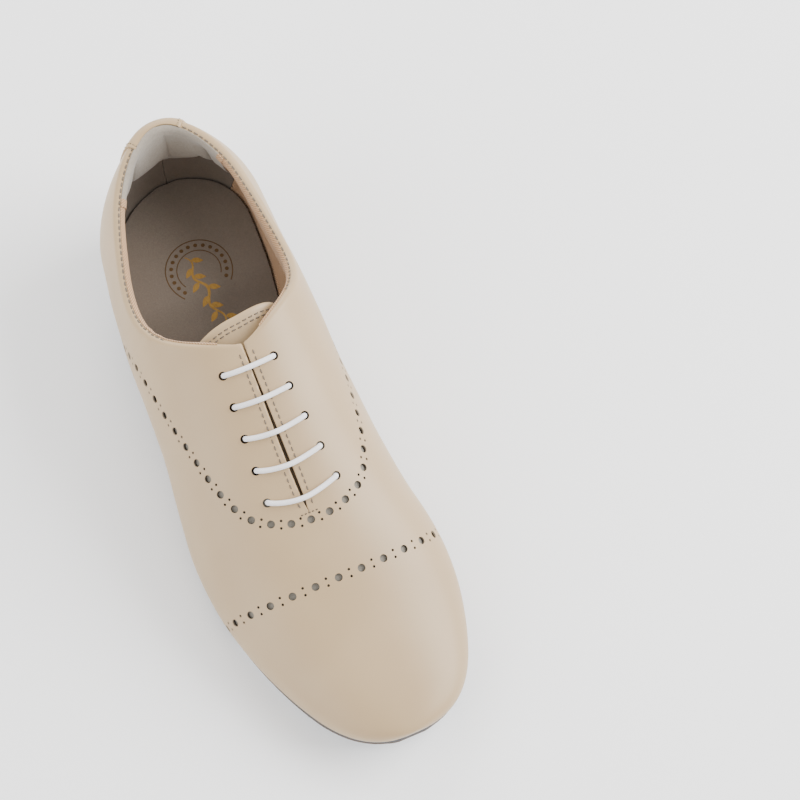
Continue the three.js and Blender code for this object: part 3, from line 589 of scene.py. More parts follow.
def coating(name, code, roughness, metallic=0.0, **sockets):
    """A material with its shader's own numbers; returns it with its node tree and shader."""
    material = bpy.data.materials.new(name)
    material.use_nodes = True
    tree = material.node_tree
    shader = tree.nodes["Principled BSDF"]
    shader.inputs["Base Color"].default_value = srgb(code)
    shader.inputs["Roughness"].default_value = roughness
    shader.inputs["Metallic"].default_value = metallic
    for socket, value in sockets.items():
        shader.inputs[socket.replace("_", " ")].default_value = value
    material.diffuse_color = srgb(code)
    return material, tree, shader


def tinted(tree, shader, factor, low, high):
    """Runs the base colour between two hex colours by a factor."""
    ends = {"Factor": factor, "A": srgb(low), "B": srgb(high)}
    mixed = add(tree, "ShaderNodeMix", ends, data_type="RGBA")
    tree.links.new(mixed.outputs["Result"], shader.inputs["Base Color"])


def embossed(tree, shader, height, distance, strength, normal=None):
    """Bumps the surface by height times distance, in metres, over a bump already there."""
    inputs = {"Height": height, "Distance": distance, "Strength": strength}
    if normal is not None:
        inputs["Normal"] = normal
    bump = add(tree, "ShaderNodeBump", inputs)
    tree.links.new(bump.outputs["Normal"], shader.inputs["Normal"])
    return bump.outputs["Normal"]


def grained(tree, scale, detail=3.0, breakup=0.55, cells=False):
    """A pattern over the piece's own coordinates, its size given as features in a metre: a noise,
    or the distance to the nearest of many scattered cells."""
    inputs = {"Vector": add(tree, "ShaderNodeTexCoord").outputs["Object"], "Scale": scale}
    if cells:
        return add(tree, "ShaderNodeTexVoronoi", inputs).outputs["Distance"]
    inputs.update(Detail=detail, Roughness=breakup)
    return add(tree, "ShaderNodeTexNoise", inputs).outputs["Fac"]


def one_grain(name, code, roughness, scale, shades=None, bump=None, **grain):
    """A finish with a single pattern, which runs the colour between two shades and raises the
    surface by bump, as (distance, strength)."""
    sockets = {key: grain.pop(key) for key in list(grain) if key.startswith("Sheen")}
    material, tree, shader = coating(name, code, roughness, **sockets)
    pattern = grained(tree, scale, **grain)
    if shades:
        tinted(tree, shader, pattern, *shades)
    if bump:
        embossed(tree, shader, pattern, *bump)
    return material


def sine_ribs(tree, across, rib):
    """Ribs rib millimetres apart: sin(2 pi x / rib), for a socket that holds x."""
    phase = add(tree, "ShaderNodeMath", {0: across, 1: 2 * math.pi / rib}, operation="MULTIPLY")
    return add(tree, "ShaderNodeMath", {0: phase.outputs[0]}, operation="SINE").outputs[0]


def woven(tree, shader, ribs, dark, light, depth, strength):
    """Colour and relief of a weave from ribs that run between -1 and 1."""
    share = add(tree, "ShaderNodeMapRange", {"Value": ribs, "From Min": -1.0, "From Max": 1.0})
    tinted(tree, shader, share.outputs["Result"], dark, light)
    embossed(tree, shader, share.outputs["Result"], depth, strength)


def cloth_axes(tree):
    """The cloth map's two sockets, in millimetres: across the threads and along them."""
    cloth = add(tree, "ShaderNodeUVMap", uv_map="cloth").outputs["UV"]
    parts = add(tree, "ShaderNodeSeparateXYZ", {"Vector": cloth})
    return parts.outputs["X"], parts.outputs["Y"]


# Smooth full-grain calf, plated and waxed: a fine pore about 0.5 mm across, slow cloudy colour
# where the dye has taken differently, and a soft sheen.
ivory_calf, tree, shader = coating(
    "plated_ivory_calf", "a98f6b", 0.43, Coat_Weight=0.06, Coat_Roughness=0.35)
tinted(tree, shader, grained(tree, 22.0, detail=2.0), "a18762", "b19875")
pores = embossed(tree, shader, grained(tree, 2000.0, cells=True), 0.00002, 0.35)
embossed(tree, shader, grained(tree, 170.0, detail=4.0), 0.00012, 0.22, pores)

# The punched and cut edge of the same calf, raw: darker and matt, with no finish on it.
cut_calf = one_grain("raw_cut_calf", "7d705f", 0.9, 1500.0, ("64584a", "948673"))

# Split suede of the heel grip: a short light-grey nap with paler and darker strokes.
grey_suede = one_grain(
    "brushed_grey_suede", "8e8477", 0.97, 900.0, ("766d61", "a39a8d"), (0.0004, 0.5),
    detail=6.0, breakup=0.75, Sheen_Weight=0.25, Sheen_Roughness=0.6)

# Microfibre suede of the insock and inner wall: flat taupe with a fine speckle of fibre ends.
taupe_microfibre = one_grain(
    "sueded_taupe_microfibre", "7a7067", 0.95, 1400.0, ("584f46", "7a7065"), (0.0002, 0.4),
    detail=5.0, breakup=0.8, Sheen_Weight=0.12)

# Bonded grey backing cloth, seen only through the punched holes: matt, with a felted fibre.
grey_backing = one_grain(
    "bonded_grey_backing", "8b857a", 0.97, 800.0, ("756f65", "9c968b"), (0.0002, 0.4), detail=5.0)

# Moulded polyurethane foam: pale, with open cells about 0.5 mm across.
foam = one_grain(
    "moulded_foam", "d9d4c8", 1.0, 1900.0, ("c4beb0", "e2ddd2"), (0.0003, 0.6), cells=True)

# Pressed thermoplastic board for the counter and the toe: smooth, slightly waxy off-white.
stiffener = one_grain("pressed_stiffener", "e0dcd1", 0.6, 300.0, None, (0.0001, 0.4))

# Cellulose insole board: brown, with matted fibres.
fibre_insole = one_grain(
    "matted_insole_board", "9a7f5f", 0.9, 500.0, ("846a4c", "b0946f"), detail=5.0)

# Ground cork in binder, filling the hollow over the outsole: granules about 2 mm across.
cork = one_grain("bound_ground_cork", "b08a5c", 0.95, 500.0, ("8c6a40", "c49c6c"), cells=True)

# Dyed sole leather, edge-inked slate grey and rolled: low gloss over a cloudy, pored grain.
sole_leather = one_grain(
    "inked_sole_leather", "333436", 0.6, 260.0, ("2b2c2e", "3d3e41"), (0.00015, 0.35), detail=4.0)

# Moulded rubber top piece: near black and matt, with a fine spark-eroded texture.
heel_rubber = one_grain("moulded_heel_rubber", "2b2d30", 0.85, 1200.0, None, (0.0001, 0.5))

# Vulcanised fibre board between the toe tap and the sole: dark brown and hard.
fibre_board = one_grain("vulcanised_fibre_board", "5a4636", 0.75, 600.0, ("4a392b", "6a5443"))

# Bonded nylon thread, taupe, pulled a little into the leather so that it reads as dark dashes.
taupe_thread = one_grain(
    "bonded_taupe_thread", "74685a", 0.7, 3000.0, ("544a3f", "776b5d"), detail=1.0)
# The same thread dyed to the leather, for the back strap.
ivory_thread = one_grain(
    "bonded_ivory_thread", "ac9a7f", 0.65, 3000.0, ("8f7a58", "ab9673"), detail=1.0)
# The pricked holes that the thread goes down into, in deep shade.
dark_hole = one_grain("pricked_needle_hole", "3a322a", 1.0, 2500.0, ("2c2620", "463d33"))

# Herringbone cotton lining: p folds back and forth over each column of the cloth and the ribs are
# sin(u + p(v)), so they lean left and right in turn. The real rib is about 0.6 mm; it is drawn at
# 1.3 mm so that it shows.
RIB, RIB_COLUMN = 1.3, 9.0
tan_twill, tree, shader = coating("woven_tan_herringbone", "b08c69", 0.92, Sheen_Weight=0.2)
u, v = cloth_axes(tree)
fold = add(tree, "ShaderNodeMath", {0: v, 1: RIB_COLUMN}, operation="PINGPONG").outputs[0]
lean = add(tree, "ShaderNodeMath", {0: u, 1: fold}, operation="ADD").outputs[0]
woven(tree, shader, sine_ribs(tree, lean, RIB), "96714d", "bd9a76", 0.00025, 0.7)

# Braided white elastic: two crossing sets of yarns, max(sin(u + v), sin(u - v)), soft and slightly
# cool. The real yarns are about 0.4 mm wide; they are drawn coarser so that they show.
YARN = 0.785
white_elastic, tree, shader = coating("braided_white_elastic", "e4e1e2", 0.75, Sheen_Weight=0.15)
u, v = cloth_axes(tree)
yarns = [sine_ribs(tree, add(tree, "ShaderNodeMath", {0: u, 1: v}, operation=way).outputs[0], YARN)
         for way in ("ADD", "SUBTRACT")]
braid = add(tree, "ShaderNodeMath", {0: yarns[0], 1: yarns[1]}, operation="MAXIMUM").outputs[0]
woven(tree, shader, braid, "cfcbcd", "ebe9ea", 0.00012, 0.5)


def layered(name, code, dark, light, lift, roughness):
    """Stacked lifts: the colour darkens in a thin line at each multiple of the lift's height."""
    material, tree, shader = coating(name, code, roughness)
    where = add(tree, "ShaderNodeTexCoord").outputs["Object"]
    height = add(tree, "ShaderNodeSeparateXYZ", {"Vector": where}).outputs["Z"]
    fold = add(tree, "ShaderNodeMath", {0: height, 1: lift * MM / 2}, operation="PINGPONG").outputs[0]
    near = {"Value": fold, "From Min": 0.0, "From Max": 0.00025}
    line = add(tree, "ShaderNodeMapRange", near).outputs["Result"]
    grit = grained(tree, 420.0, detail=4.0)
    both = add(tree, "ShaderNodeMath", {0: line, 1: grit}, operation="MULTIPLY")
    tinted(tree, shader, both.outputs[0], dark, light)
    embossed(tree, shader, line, 0.0002, 0.6)
    return material


# Heel of leather lifts 3 mm thick, sanded and inked slate grey, with the joints just showing.
stacked_heel = layered("inked_stacked_heel", "3a3a3c", "232325", "48484a", 3.0, 0.5)


def worn_metal(name, code, roughness, scale, scuffs):
    """Bare metal: roughness runs between bright rubs and dull skin by a stretched noise."""
    material, tree, shader = coating(name, code, roughness, 1.0)
    where = add(tree, "ShaderNodeTexCoord").outputs["Object"]
    drawn_out = {"Vector": where, "Scale": (1.0, 0.08, 1.0)}
    lengthwise = add(tree, "ShaderNodeMapping", drawn_out).outputs[0]
    rubs = add(tree, "ShaderNodeTexNoise", {"Vector": lengthwise, "Scale": scale, "Detail": 4.0})
    dull = add(tree, "ShaderNodeMapRange", {
        "Value": rubs.outputs["Fac"], "From Min": 0.3, "From Max": 0.7,
        "To Min": roughness - scuffs, "To Max": roughness + scuffs})
    tree.links.new(dull.outputs["Result"], shader.inputs["Roughness"])
    embossed(tree, shader, rubs.outputs["Fac"], 0.00003, 0.5)
    return material


# Die-cast aluminium taps, tumbled then rubbed along the foot: pale, with fine lengthwise scuffs.
tap_aluminium = worn_metal("tumbled_cast_aluminium", "c6c9cd", 0.36, 900.0, 0.12)
# Zinc-plated steel screws, eyelets and shank: a darker metal, and glossier.
steel = worn_metal("plated_steel", "a3a7ad", 0.32, 1500.0, 0.08)
# Foil stamped into the insock: warm gold, broken by the nap under it.
gold_foil = worn_metal("stamped_gold_foil", "8d6d3a", 0.5, 2500.0, 0.2)
# The same foil in the thin rings, rubbed down to a dull bronze.
bronze_foil = worn_metal("rubbed_bronze_foil", "5c4730", 0.6, 2500.0, 0.1)

# ------------------------------------------------------------------ upper


U_L = [76, 96, 120, 152, 178, 189, 194, 191, 180, 156, 134, 104]
CAP_L = 219.5          # back of the heel to the line across the toe, at the crest
U_TURN = [-1.44, -1.16, -0.98, -0.74, -0.50, -0.28, 0.0, 0.28, 0.58, 0.87, 1.05, 1.30]


def swept_line():
    """The U-shaped line of punching round the lacing, from its outer heel end over the toe side of
    the slit to its inner heel end: splines of l and turn over the knots."""
    steps = np.arange(len(U_L))
    ts = np.linspace(0, len(U_L) - 1, 900)
    return spline(steps, U_L)(ts), spline(steps, U_TURN)(ts)


def cap_line():
    """The straight line of punching across the toe: l falls back from the crest to the sole."""
    turn = np.linspace(-1.42, 1.42, 900)
    fall = np.where(turn < 0, 9, 14)
    return CAP_L - fall * (1 - np.cos(turn)), turn


def spaced(line, pitch, start=0.0, offset=0.0):
    """Places every pitch millimetres along a line on the skin: centre, along, across, normal."""
    l, turn = line
    run = run_along(over(l, turn))
    at = np.arange(start, run[-1], pitch)
    l, turn = np.interp(at, run, l), np.interp(at, run, turn)
    out = over_normal(l, turn)
    centre = over(l, turn)
    ahead = np.interp(at + 0.5, run, line[0]), np.interp(at + 0.5, run, line[1])
    along = over(*ahead) - centre
    along = unit(along - (along * out).sum(1, keepdims=True) * out)
    across = np.cross(out, along)
    return centre + offset * across, along, across, out


def pegs(centres, axes, radius, sides, low, high):
    """Cylinders along the third axis of each place, closed at both ends by a fan."""
    shape, faces = revolved([(0, low), (radius, low), (radius, high), (0, high)], sides)
    points, faces = repeated(shape, faces, centres, axes)
    return welded(points, faces)


BIG_HOLE = 1.75        # radii of the two sizes of punched hole
DOT_HOLE = 0.6
DOT_SPREAD = 1.6       # each pair of dots lies this far to both sides of the line
PUNCH_DEPTH = (-2.2, 3)
punching = []
for line, pitch, start in ((swept_line(), 8.8, 5.4), (cap_line(), 10.8, 2.8)):
    for begin, offset, radius, sides in ((start, 0.0, BIG_HOLE, 28),
                                         (start + pitch / 2, -DOT_SPREAD, DOT_HOLE, 14),
                                         (start + pitch / 2, DOT_SPREAD, DOT_HOLE, 14)):
        centre, along, across, out = spaced(line, pitch, begin, offset)
        axes = np.stack([along, across, out], 1)
        punching.append(pegs(centre, axes, radius, sides, *PUNCH_DEPTH))


def facing_place(l, side, distance):
    """The place a given distance from the crest, measured over the skin at one l."""
    turn = side * np.linspace(0, QUARTER - 0.1, 500)
    run = run_along(over(np.full(500, l), turn))
    at = np.interp(distance, run, turn)
    return over(l, at), over_normal(l, np.asarray(at))


EYELET_ROWS = 5
FIRST_EYELET = 128.3   # back of the heel to the first pair
EYELET_PITCH = 13.2
eyelets = {-1: [], 1: []}
for row in range(EYELET_ROWS):
    l = FIRST_EYELET + EYELET_PITCH * row
    eyelets[-1].append(facing_place(l, -1, 13 + 0.55 * row))
    eyelets[1].append(facing_place(l, 1, 10.8 + 1.65 * row))


def square_axes(out):
    """Axes for each normal: along the shoe, across it and out."""
    along = unit(np.cross(np.tile((1.0, 0, 0), (len(out), 1)), out))
    return np.stack([-np.cross(along, out), -along, out], 1)


eyelet_centres = np.array([centre for side in (-1, 1) for centre, _ in eyelets[side]])
eyelet_outs = np.array([out for side in (-1, 1) for _, out in eyelets[side]])
eyelet_axes = square_axes(eyelet_outs)


def cut_with(piece, cutters, edge_coating=None):
    """Punches the cutters out of a piece, then gives the smooth faces back the skin's own normals."""
    whole = piece.copy()
    whole.data = piece.data.copy()
    bpy.context.scene.collection.objects.link(whole)
    points, fours = joined([(cutter_points, fours) for cutter_points, (fours, _) in cutters])
    _, threes = joined([(cutter_points, threes) for cutter_points, (_, threes) in cutters])
    tool = mesh_piece("punch", points, [fours, threes], edge_coating or piece.data.materials[0])
    if edge_coating:
        piece.data.materials.append(edge_coating)
    subtract(piece, tool, sharp=40)
    keep_normals(piece, whole)
    bpy.data.objects.remove(whole)
    return piece


def keep_normals(piece, whole):
    """Carries the normals of the uncut piece over to what is left of its surface: wherever a
    corner lies within 0.08 mm of it."""
    transfer = piece.modifiers.new("kept", "DATA_TRANSFER")
    transfer.object = whole
    transfer.use_loop_data = True
    transfer.data_types_loops = {"CUSTOM_NORMAL"}
    transfer.loop_mapping = "POLYINTERP_NEAREST"
    transfer.use_max_distance = True
    transfer.max_distance = 0.08 * MM
    bake(piece)


# Depths of the layers under the outer face of the upper, nearer face and further face.
UPPER, STRAP = (0.0, 1.3), (-1.0, -0.02)
BACKING, STAY = (1.6, 2.0), (1.6, 2.2)
COUNTER, PUFF = (1.6, 3.0), (2.3, 3.1)
LINING_PADDED, LINING = (3.9, 4.7), (3.7, 4.3)
LIP = 0.3              # rounding of the leather's cut edges
calf_upper = sheet("calf_upper", ON_SKIN | ON_ROLL, *UPPER, ivory_calf, trim=0.0, rounding=LIP)
holes = pegs(eyelet_centres, eyelet_axes, 1.95, 28, -3, 3)
cut_with(calf_upper, [*punching, holes], cut_calf)
fit(calf_upper, ["upper"])

STRAP_END = {-1: 9, 1: 7}   # columns it covers on each side of the back seam
STRAP_FOOT = 4
STRAP_FOLD = 7         # steps of the roll that it follows over the rim
strap_cells = (ON_SKIN | ON_ROLL) & (COLUMN < np.where(SIDE < 0, STRAP_END[-1], STRAP_END[1]))
strap_cells &= (ROW >= STRAP_FOOT) & (ROW < EDGE + STRAP_FOLD)
back_strap = sheet("back_strap", strap_cells, *STRAP, ivory_calf, rounding=LIP)
fit(back_strap, ["heel_strap"])

# ------------------------------------------------------------------ stiffeners, padding and linings

climb_down = climb[:, :, EDGE:EDGE + 1] - climb
CELL_DOWN = (climb_down[:, :-1, :-1] + climb_down[:, 1:, 1:]) / 2
PAD_DEEP = 18.0        # the rim's foam reaches this far down the wall
pad_cells = ON_SKIN & (COLUMN < PADDED) & (CELL_DOWN < PAD_DEEP) & (ROW < EDGE - 2)
crown = np.clip(np.sin(np.pi * np.clip(climb_down / PAD_DEEP, 0, 1)), 0, 1) ** 0.6
collar_foam = sheet("collar_foam", pad_cells, 1.6, 1.9 + 1.7 * crown, foam)
fit(collar_foam, ["collar_padding"])

BOARD_LEVEL = ON_SKIN & (ROW >= FEATHER)   # everything above the margin turned under
counter_cells = BOARD_LEVEL & (COLUMN < CORNER * 5 // 14) & (CELL_DOWN >= PAD_DEEP + 0.5)
fit(sheet("heel_counter_shell", counter_cells, *COUNTER, stiffener), ["heel_counter"])
puff_cells = BOARD_LEVEL & (CELL_L > 243)
fit(sheet("toe_stiffener", puff_cells, *PUFF, stiffener), ["toe_puff"])

facing_turn = 0.14 + np.interp(CELL_L, [76, 96, 120, 152, 178, 192],
                               [1.3, 1.05, 0.86, 0.62, 0.38, 0.0])
in_facing = (CELL_L < 190) & (np.abs(CELL_TURN) < facing_turn - 0.34)
in_facing &= (COLUMN >= CORNER) & (COLUMN < VAMP)
under_cells = BOARD_LEVEL & (COLUMN >= CORNER // 2) & ~in_facing
under_cells &= (COLUMN >= CORNER) | (CELL_DOWN > 12)
under_cells &= (COLUMN >= VAMP) | (ROW < EDGE - 1)
fit(sheet("punching_underlay", under_cells, *BACKING, grey_backing), ["vamp_backing"])

deep = ease((np.arange(TIP + 1) - PADDED) / (CORNER / 7))[None, :, None] + 0 * place_l
lining_outside, lining_inside = (
    padded + (open_ - padded) * deep for padded, open_ in zip(LINING_PADDED, LINING))
GRIP = {-1: 22, 1: 19}   # column where the suede of the heel ends, on each side
GRIP_COLUMNS = np.where(SIDE < 0, GRIP[-1], GRIP[1])
skin_rows = ON_SKIN & (ROW >= FEATHER + 1) & (ROW < EDGE - 1)


def wall_place(s, column, down):
    """Places a distance down the skin from the rim, on one column, and their normals."""
    rows = slice(EDGE, 0, -1)
    below = climb_down[s, column, rows]
    point = read_off(down, below, place[s, column, rows])
    return point, unit(read_off(down, below, normal[s, column, rows]))


WALL_DEPTH = 4.75      # face of a hung lining under the outer face of the upper
SEAT = 0.03            # gap between a hung lining's back and the leather of the roll
ROLL_PLACES = 7


def rim_lining(name, columns, hang, proud, coating, pad):
    """A lining that begins at the stitching on top of the rolled rim, and hangs down inside the
    wall by hang. Between the grid's columns it is filled in by threes, and then its face is
    pushed out by pad(r, h), where r is the run round the rim and h the share of the height."""
    face, back, push = [], [], []
    share = np.linspace(0.02, 1, 30)
    for (s, column), length in zip(columns, hang):
        first = EDGE + 6 + s + 3.5 * ease((column - PADDED) / (CORNER - PADDED))
        turns = np.linspace(first, ROWS, ROLL_PLACES)
        steps = np.arange(EDGE, ROWS + 1)
        roll = read_off(turns, steps, place[s, column, EDGE:])
        out = unit(read_off(turns, steps, normal[s, column, EDGE:]))
        end_depth = (place[s, column, EDGE] - roll[-1]) @ normal[s, column, EDGE]
        down = length * share
        wall, wall_out = wall_place(s, column, down)
        settle = ease(down / 9)
        face_depth = (end_depth + proud) * (1 - settle) + (WALL_DEPTH + proud) * settle
        back_depth = (end_depth + SEAT) * (1 - ease(down / 3)) + (WALL_DEPTH - 0.02) * ease(down / 3)
        face.append(np.concatenate([roll + proud * out, wall - face_depth[:, None] * wall_out]))
        back.append(np.concatenate([roll + SEAT * out, wall - back_depth[:, None] * wall_out]))
        push.append(np.concatenate([0 * out, -wall_out]))
    fine = np.linspace(0, len(face) - 1, 3 * len(face) - 2)
    low = np.minimum(fine.astype(int), len(face) - 2)
    part = (fine - low)[:, None, None]
    face, back, push = (np.array(values)[low] * (1 - part) + np.array(values)[low + 1] * part
                        for values in (face, back, push))
    run = run_along(face[:, 0])[:, None]
    height = np.concatenate([np.zeros(ROLL_PLACES), share])[None, :]
    face = face + pad(run, height)[..., None] * push
    rows = np.concatenate([np.zeros((len(face), 1)), np.cumsum(
        np.linalg.norm(np.diff(face, axis=1), axis=-1), axis=1)], axis=1)
    return closed_grid(name, face, back, coating, np.stack([run + 0 * rows, rows], -1))


def gathers(run):
    """The suede is gathered into scallops, |sin(pi r / w)|^0.35, about 15 mm wide and uneven."""
    return np.abs(np.sin(np.pi * (run + 5 + 2.5 * np.sin(run / 13)) / 15.5)) ** 0.35


def grip_pad(run, height):
    """Fuller towards its foot, by the gathers, times the root of a half sine over the height."""
    swell = np.sqrt(np.clip(np.sin(np.pi * height), 0, 1))
    return (0.2 + 4.2 * gathers(run) * (0.3 + 0.7 * height)) * swell


def soft_pad(run, height):
    """A half sine over the height, squared."""
    return 1.9 * np.sin(np.pi * height) ** 2


round_heel = [(0, column) for column in range(GRIP[-1], 0, -1)]
round_heel += [(1, column) for column in range(GRIP[1] + 1)]
rim_run = run_along(np.array([place[s, column, EDGE] for s, column in round_heel]))
grip_hang = 23 + 6.5 * gathers(rim_run)
suede_grip = rim_lining("suede_heel_grip", round_heel, grip_hang, 0.7, grey_suede, grip_pad)
fit(suede_grip, ["heel_grip"])
for side, word in ((-1, "outer"), (1, "inner")):
    wall_cells = skin_rows & (SIDE == side) & (COLUMN < GRIP_COLUMNS) & (CELL_DOWN > 12)
    heel_wall = sheet(f"{word}_heel_wall", wall_cells, lining_outside, lining_inside - 0.1,
                      taupe_microfibre, trim=0.1)
    fit(heel_wall, ["heel_grip"])
for s, word, node in ((0, "outer", "lateral"), (1, "inner", "medial")):
    start = GRIP[SIDES[s]]
    along_rim = [(s, column) for column in range(start + 1, CORNER - 5)]
    over_seam = [(s, start + step) for step in range(3)]
    for piece, strip, hang, proud in (("collar_textile", along_rim, 17.0, 0.45),
                                      ("seam_tape", over_seam, 24.0, 1.0)):
        hangs = np.full(len(strip), hang)
        hung = rim_lining(f"{word}_{piece}", strip, hangs, proud, tan_twill, soft_pad)
        fit(hung, [f"quarter_lining_{node}"])

vamp_cells = ON_SKIN & (COLUMN >= VAMP) & (ROW >= FEATHER + 1)
vamp_textile = sheet("vamp_textile", vamp_cells, lining_outside, lining_inside, tan_twill)
fit(vamp_textile, ["vamp_lining"])
for side, word, node in ((-1, "outer", "lateral"), (1, "inner", "medial")):
    own = skin_rows & (SIDE == side) & (COLUMN < VAMP)
    textile = sheet(f"{word}_quarter_textile", own & (COLUMN >= GRIP_COLUMNS),
                    lining_outside, lining_inside, tan_twill)
    picked = slice(0, EYELET_ROWS) if side < 0 else slice(EYELET_ROWS, 2 * EYELET_ROWS)
    lining_holes = pegs(eyelet_centres[picked], eyelet_axes[picked], 2.1, 20, -7, 3)
    fit(cut_with(textile, [lining_holes]), [f"quarter_lining_{node}"])
    stay = sheet(f"{word}_facing_stay", own & in_facing, *STAY, grey_backing)
    fit(cut_with(stay, [lining_holes]), [f"facing_stay_{node}"])

# ------------------------------------------------------------------ eyelets and lace

ring = [(2.0, -3.3), (3.6, -3.3), (3.75, -3.2), (3.75, -3.05), (3.6, -2.95), (2.5, -2.9),
        (2.35, -2.7), (2.3, -1.5), (2.1, -1.4), (2.0, -1.6), (2.0, -3.3)]
shape, faces = revolved(ring, 28)
rings = welded(*repeated(shape, faces[:, ::-1], eyelet_centres, eyelet_axes))
names = [f"eyelet_{side}_{row + 1}" for side in ("lateral", "medial") for row in range(EYELET_ROWS)]
fit(mesh_piece("blind_eyelets", *rings, steel), names)

RUN_DEPTH = 6.2        # the hidden runs lie this far under the outer face
LACE_RADIUS = 1.18
DOWNHILL = np.array((0, -0.9, -0.42))   # the way a slack bar slides, down the instep to the toe


def lace_path():
    """One elastic from eyelet to eyelet: bars bulging over the slit, and runs under the facings on
    alternate sides. A centripetal spline (knots spaced by the square root of the chord) passes
    through the points."""
    def at(eyelet, height, other):
        """A height over an eyelet, set a little towards the other one."""
        return eyelet[0] + height * eyelet[1] + 0.45 * unit(other[0] - eyelet[0])

    def between(a, b, share, height):
        """A share of the way from one eyelet to another, at a height over the leather."""
        return a[0] + (b[0] - a[0]) * share + height * unit(a[1] + (b[1] - a[1]) * share)

    first, second = eyelets[-1][0], eyelets[-1][1]
    points = [between(first, second, 0.45, -RUN_DEPTH), between(first, second, 0.2, -RUN_DEPTH)]
    bulge = [3.7, 4.1, 4.2, 4.3, 4.2]
    bow = [0.5, 0.9, 1.7, 2.3, 3.4]
    for row in range(EYELET_ROWS):
        side = -1 if row % 2 == 0 else 1
        a, b = eyelets[side][row], eyelets[-side][row]
        points += [at(a, height, b) for height in (-4.4, -1.5, 0.5)]
        for share, height in ((0.09, 1.7), (0.28, 3.0), (0.5, bulge[row]), (0.72, 3.0), (0.91, 1.7)):
            lopsided = 1.25 - 0.5 * share if side < 0 else 0.75 + 0.5 * share
            slack = bow[row] * math.sin(math.pi * share) * lopsided
            points.append(between(a, b, share, height) + slack * DOWNHILL)
        points += [at(b, height, a) for height in (0.5, -1.5, -4.4)]
        below = eyelets[-side][row + 1] if row + 1 < EYELET_ROWS else eyelets[-side][row - 1]
        for share in (0.25, 0.5, 0.75) if row + 1 < EYELET_ROWS else (0.2, 0.45):
            points.append(between(b, below, share, -RUN_DEPTH))
    points = np.array(points)
    knots = np.concatenate([[0], np.cumsum(np.linalg.norm(np.diff(points, axis=0), axis=1) ** 0.5)])
    fine = np.linspace(0, knots[-1], 900)
    return np.stack([spline(knots, points[:, i])(fine) for i in range(3)], -1), points


path, corners = lace_path()
lace = tube("elastic_lace", path, LACE_RADIUS, 16, white_elastic)
fit(lace, ["lace"])
half_oval = [(2.7 * math.cos(a), 1.5 * math.sin(a)) for a in np.linspace(QUARTER, -QUARTER, 13)]
knot_shape, knot_faces = revolved(half_oval, 20)
knot_outs = np.array([eyelets[-1][0][1], eyelets[1][4][1]])
knots = repeated(knot_shape, knot_faces[:, ::-1], corners[[0, -1]], square_axes(knot_outs))
points, faces = welded(*knots)
knots = mesh_piece("lace_end_knots", points, faces, white_elastic, uv=np.zeros((len(points), 2)))
fit(knots, ["lace"])

# ------------------------------------------------------------------ tongue

TONGUE_ROOT = 187.0
TONGUE_TIP = 104.0
TONGUE_SLANT = 5.5     # how far the inner end of the tip reaches past its middle


def tongue_place(u, v, trim):
    """(l, turn) for u from -1 to 1 across and v from 0 at the tip to 1 at the root. The tip's edge
    is a slanting parabola, -5.5 u + 1.5 u^2, with its corners rounded as |u|^8."""
    tip = TONGUE_TIP + TONGUE_SLANT + trim - TONGUE_SLANT * u + 1.5 * u**2 + 3.5 * np.abs(u) ** 8
    l = tip + (TONGUE_ROOT - trim - tip) * v
    return l, u * (0.66 - 0.26 * v) * (1 - trim / 30)


def tongue_sheet(name, outside, inside, trim, coating, swell=0.0, drawn=0.0):
    """A sheet with a rounded border, between two depths under the skin along its normals. swell
    crowns its inner face as the product of two half sines, and drawn shifts the sewn border."""
    rows, cols = 60, 48
    even = np.linspace(0, 1, rows)
    crowded = ease(even) * 0.35 + even * 0.65
    v, u = np.meshgrid(crowded, np.sin(QUARTER * np.linspace(-1, 1, cols)), indexing="ij")
    l, turn = tongue_place(u, v, trim)
    centre, out = over(l, turn), over_normal(l, turn)
    half = (inside - outside) / 2
    to_edge = np.minimum(np.minimum(v * 80, (1 - v) * 80), (1 - np.abs(u)) * 24)
    rounding = np.clip(1 - to_edge / (1.2 * half), 0, 1)
    thickness = half * np.sqrt(np.clip(1 - rounding**2, 0, 1))[..., None]
    crown = np.sin(np.pi * v) ** 0.5 * np.clip(np.cos(QUARTER * u), 0, 1) ** 0.5
    bulge = (swell * crown)[..., None]
    middle = ((outside + inside) / 2 + drawn * (1 - ease(to_edge / 6)))[..., None]
    top = centre - (middle - thickness) * out
    under = centre - (middle + thickness + bulge) * out
    return closed_grid(name, top, under, coating, sharp=80)


tongue_face = tongue_sheet("tongue_face", 7.9, 9.0, 0, ivory_calf)
fit(tongue_face, ["tongue"], "tongue_flap")
tongue_pad = tongue_sheet("tongue_pad", 9.3, 10.2, 3, foam, swell=0.5)
fit(tongue_pad, ["tongue_padding"], "tongue_flap")
tongue_back = tongue_sheet("tongue_back", 11.0, 11.6, 0.6, tan_twill, drawn=-1.9)
fit(tongue_back, ["tongue_lining"], "tongue_flap")

# ------------------------------------------------------------------ stitching

THREAD = 0.34          # radius of the thread


def capsule(length):
    """One stitch: a thread along X, rounded at both ends."""
    half, r = length / 2, THREAD
    profile = [(0, -half), (0.7 * r, -half + 0.3 * r), (r, -half + r),
               (r, half - r), (0.7 * r, half - 0.3 * r), (0, half)]
    points, faces = revolved(profile, 6)
    return points[:, [2, 0, 1]], faces[:, ::-1]


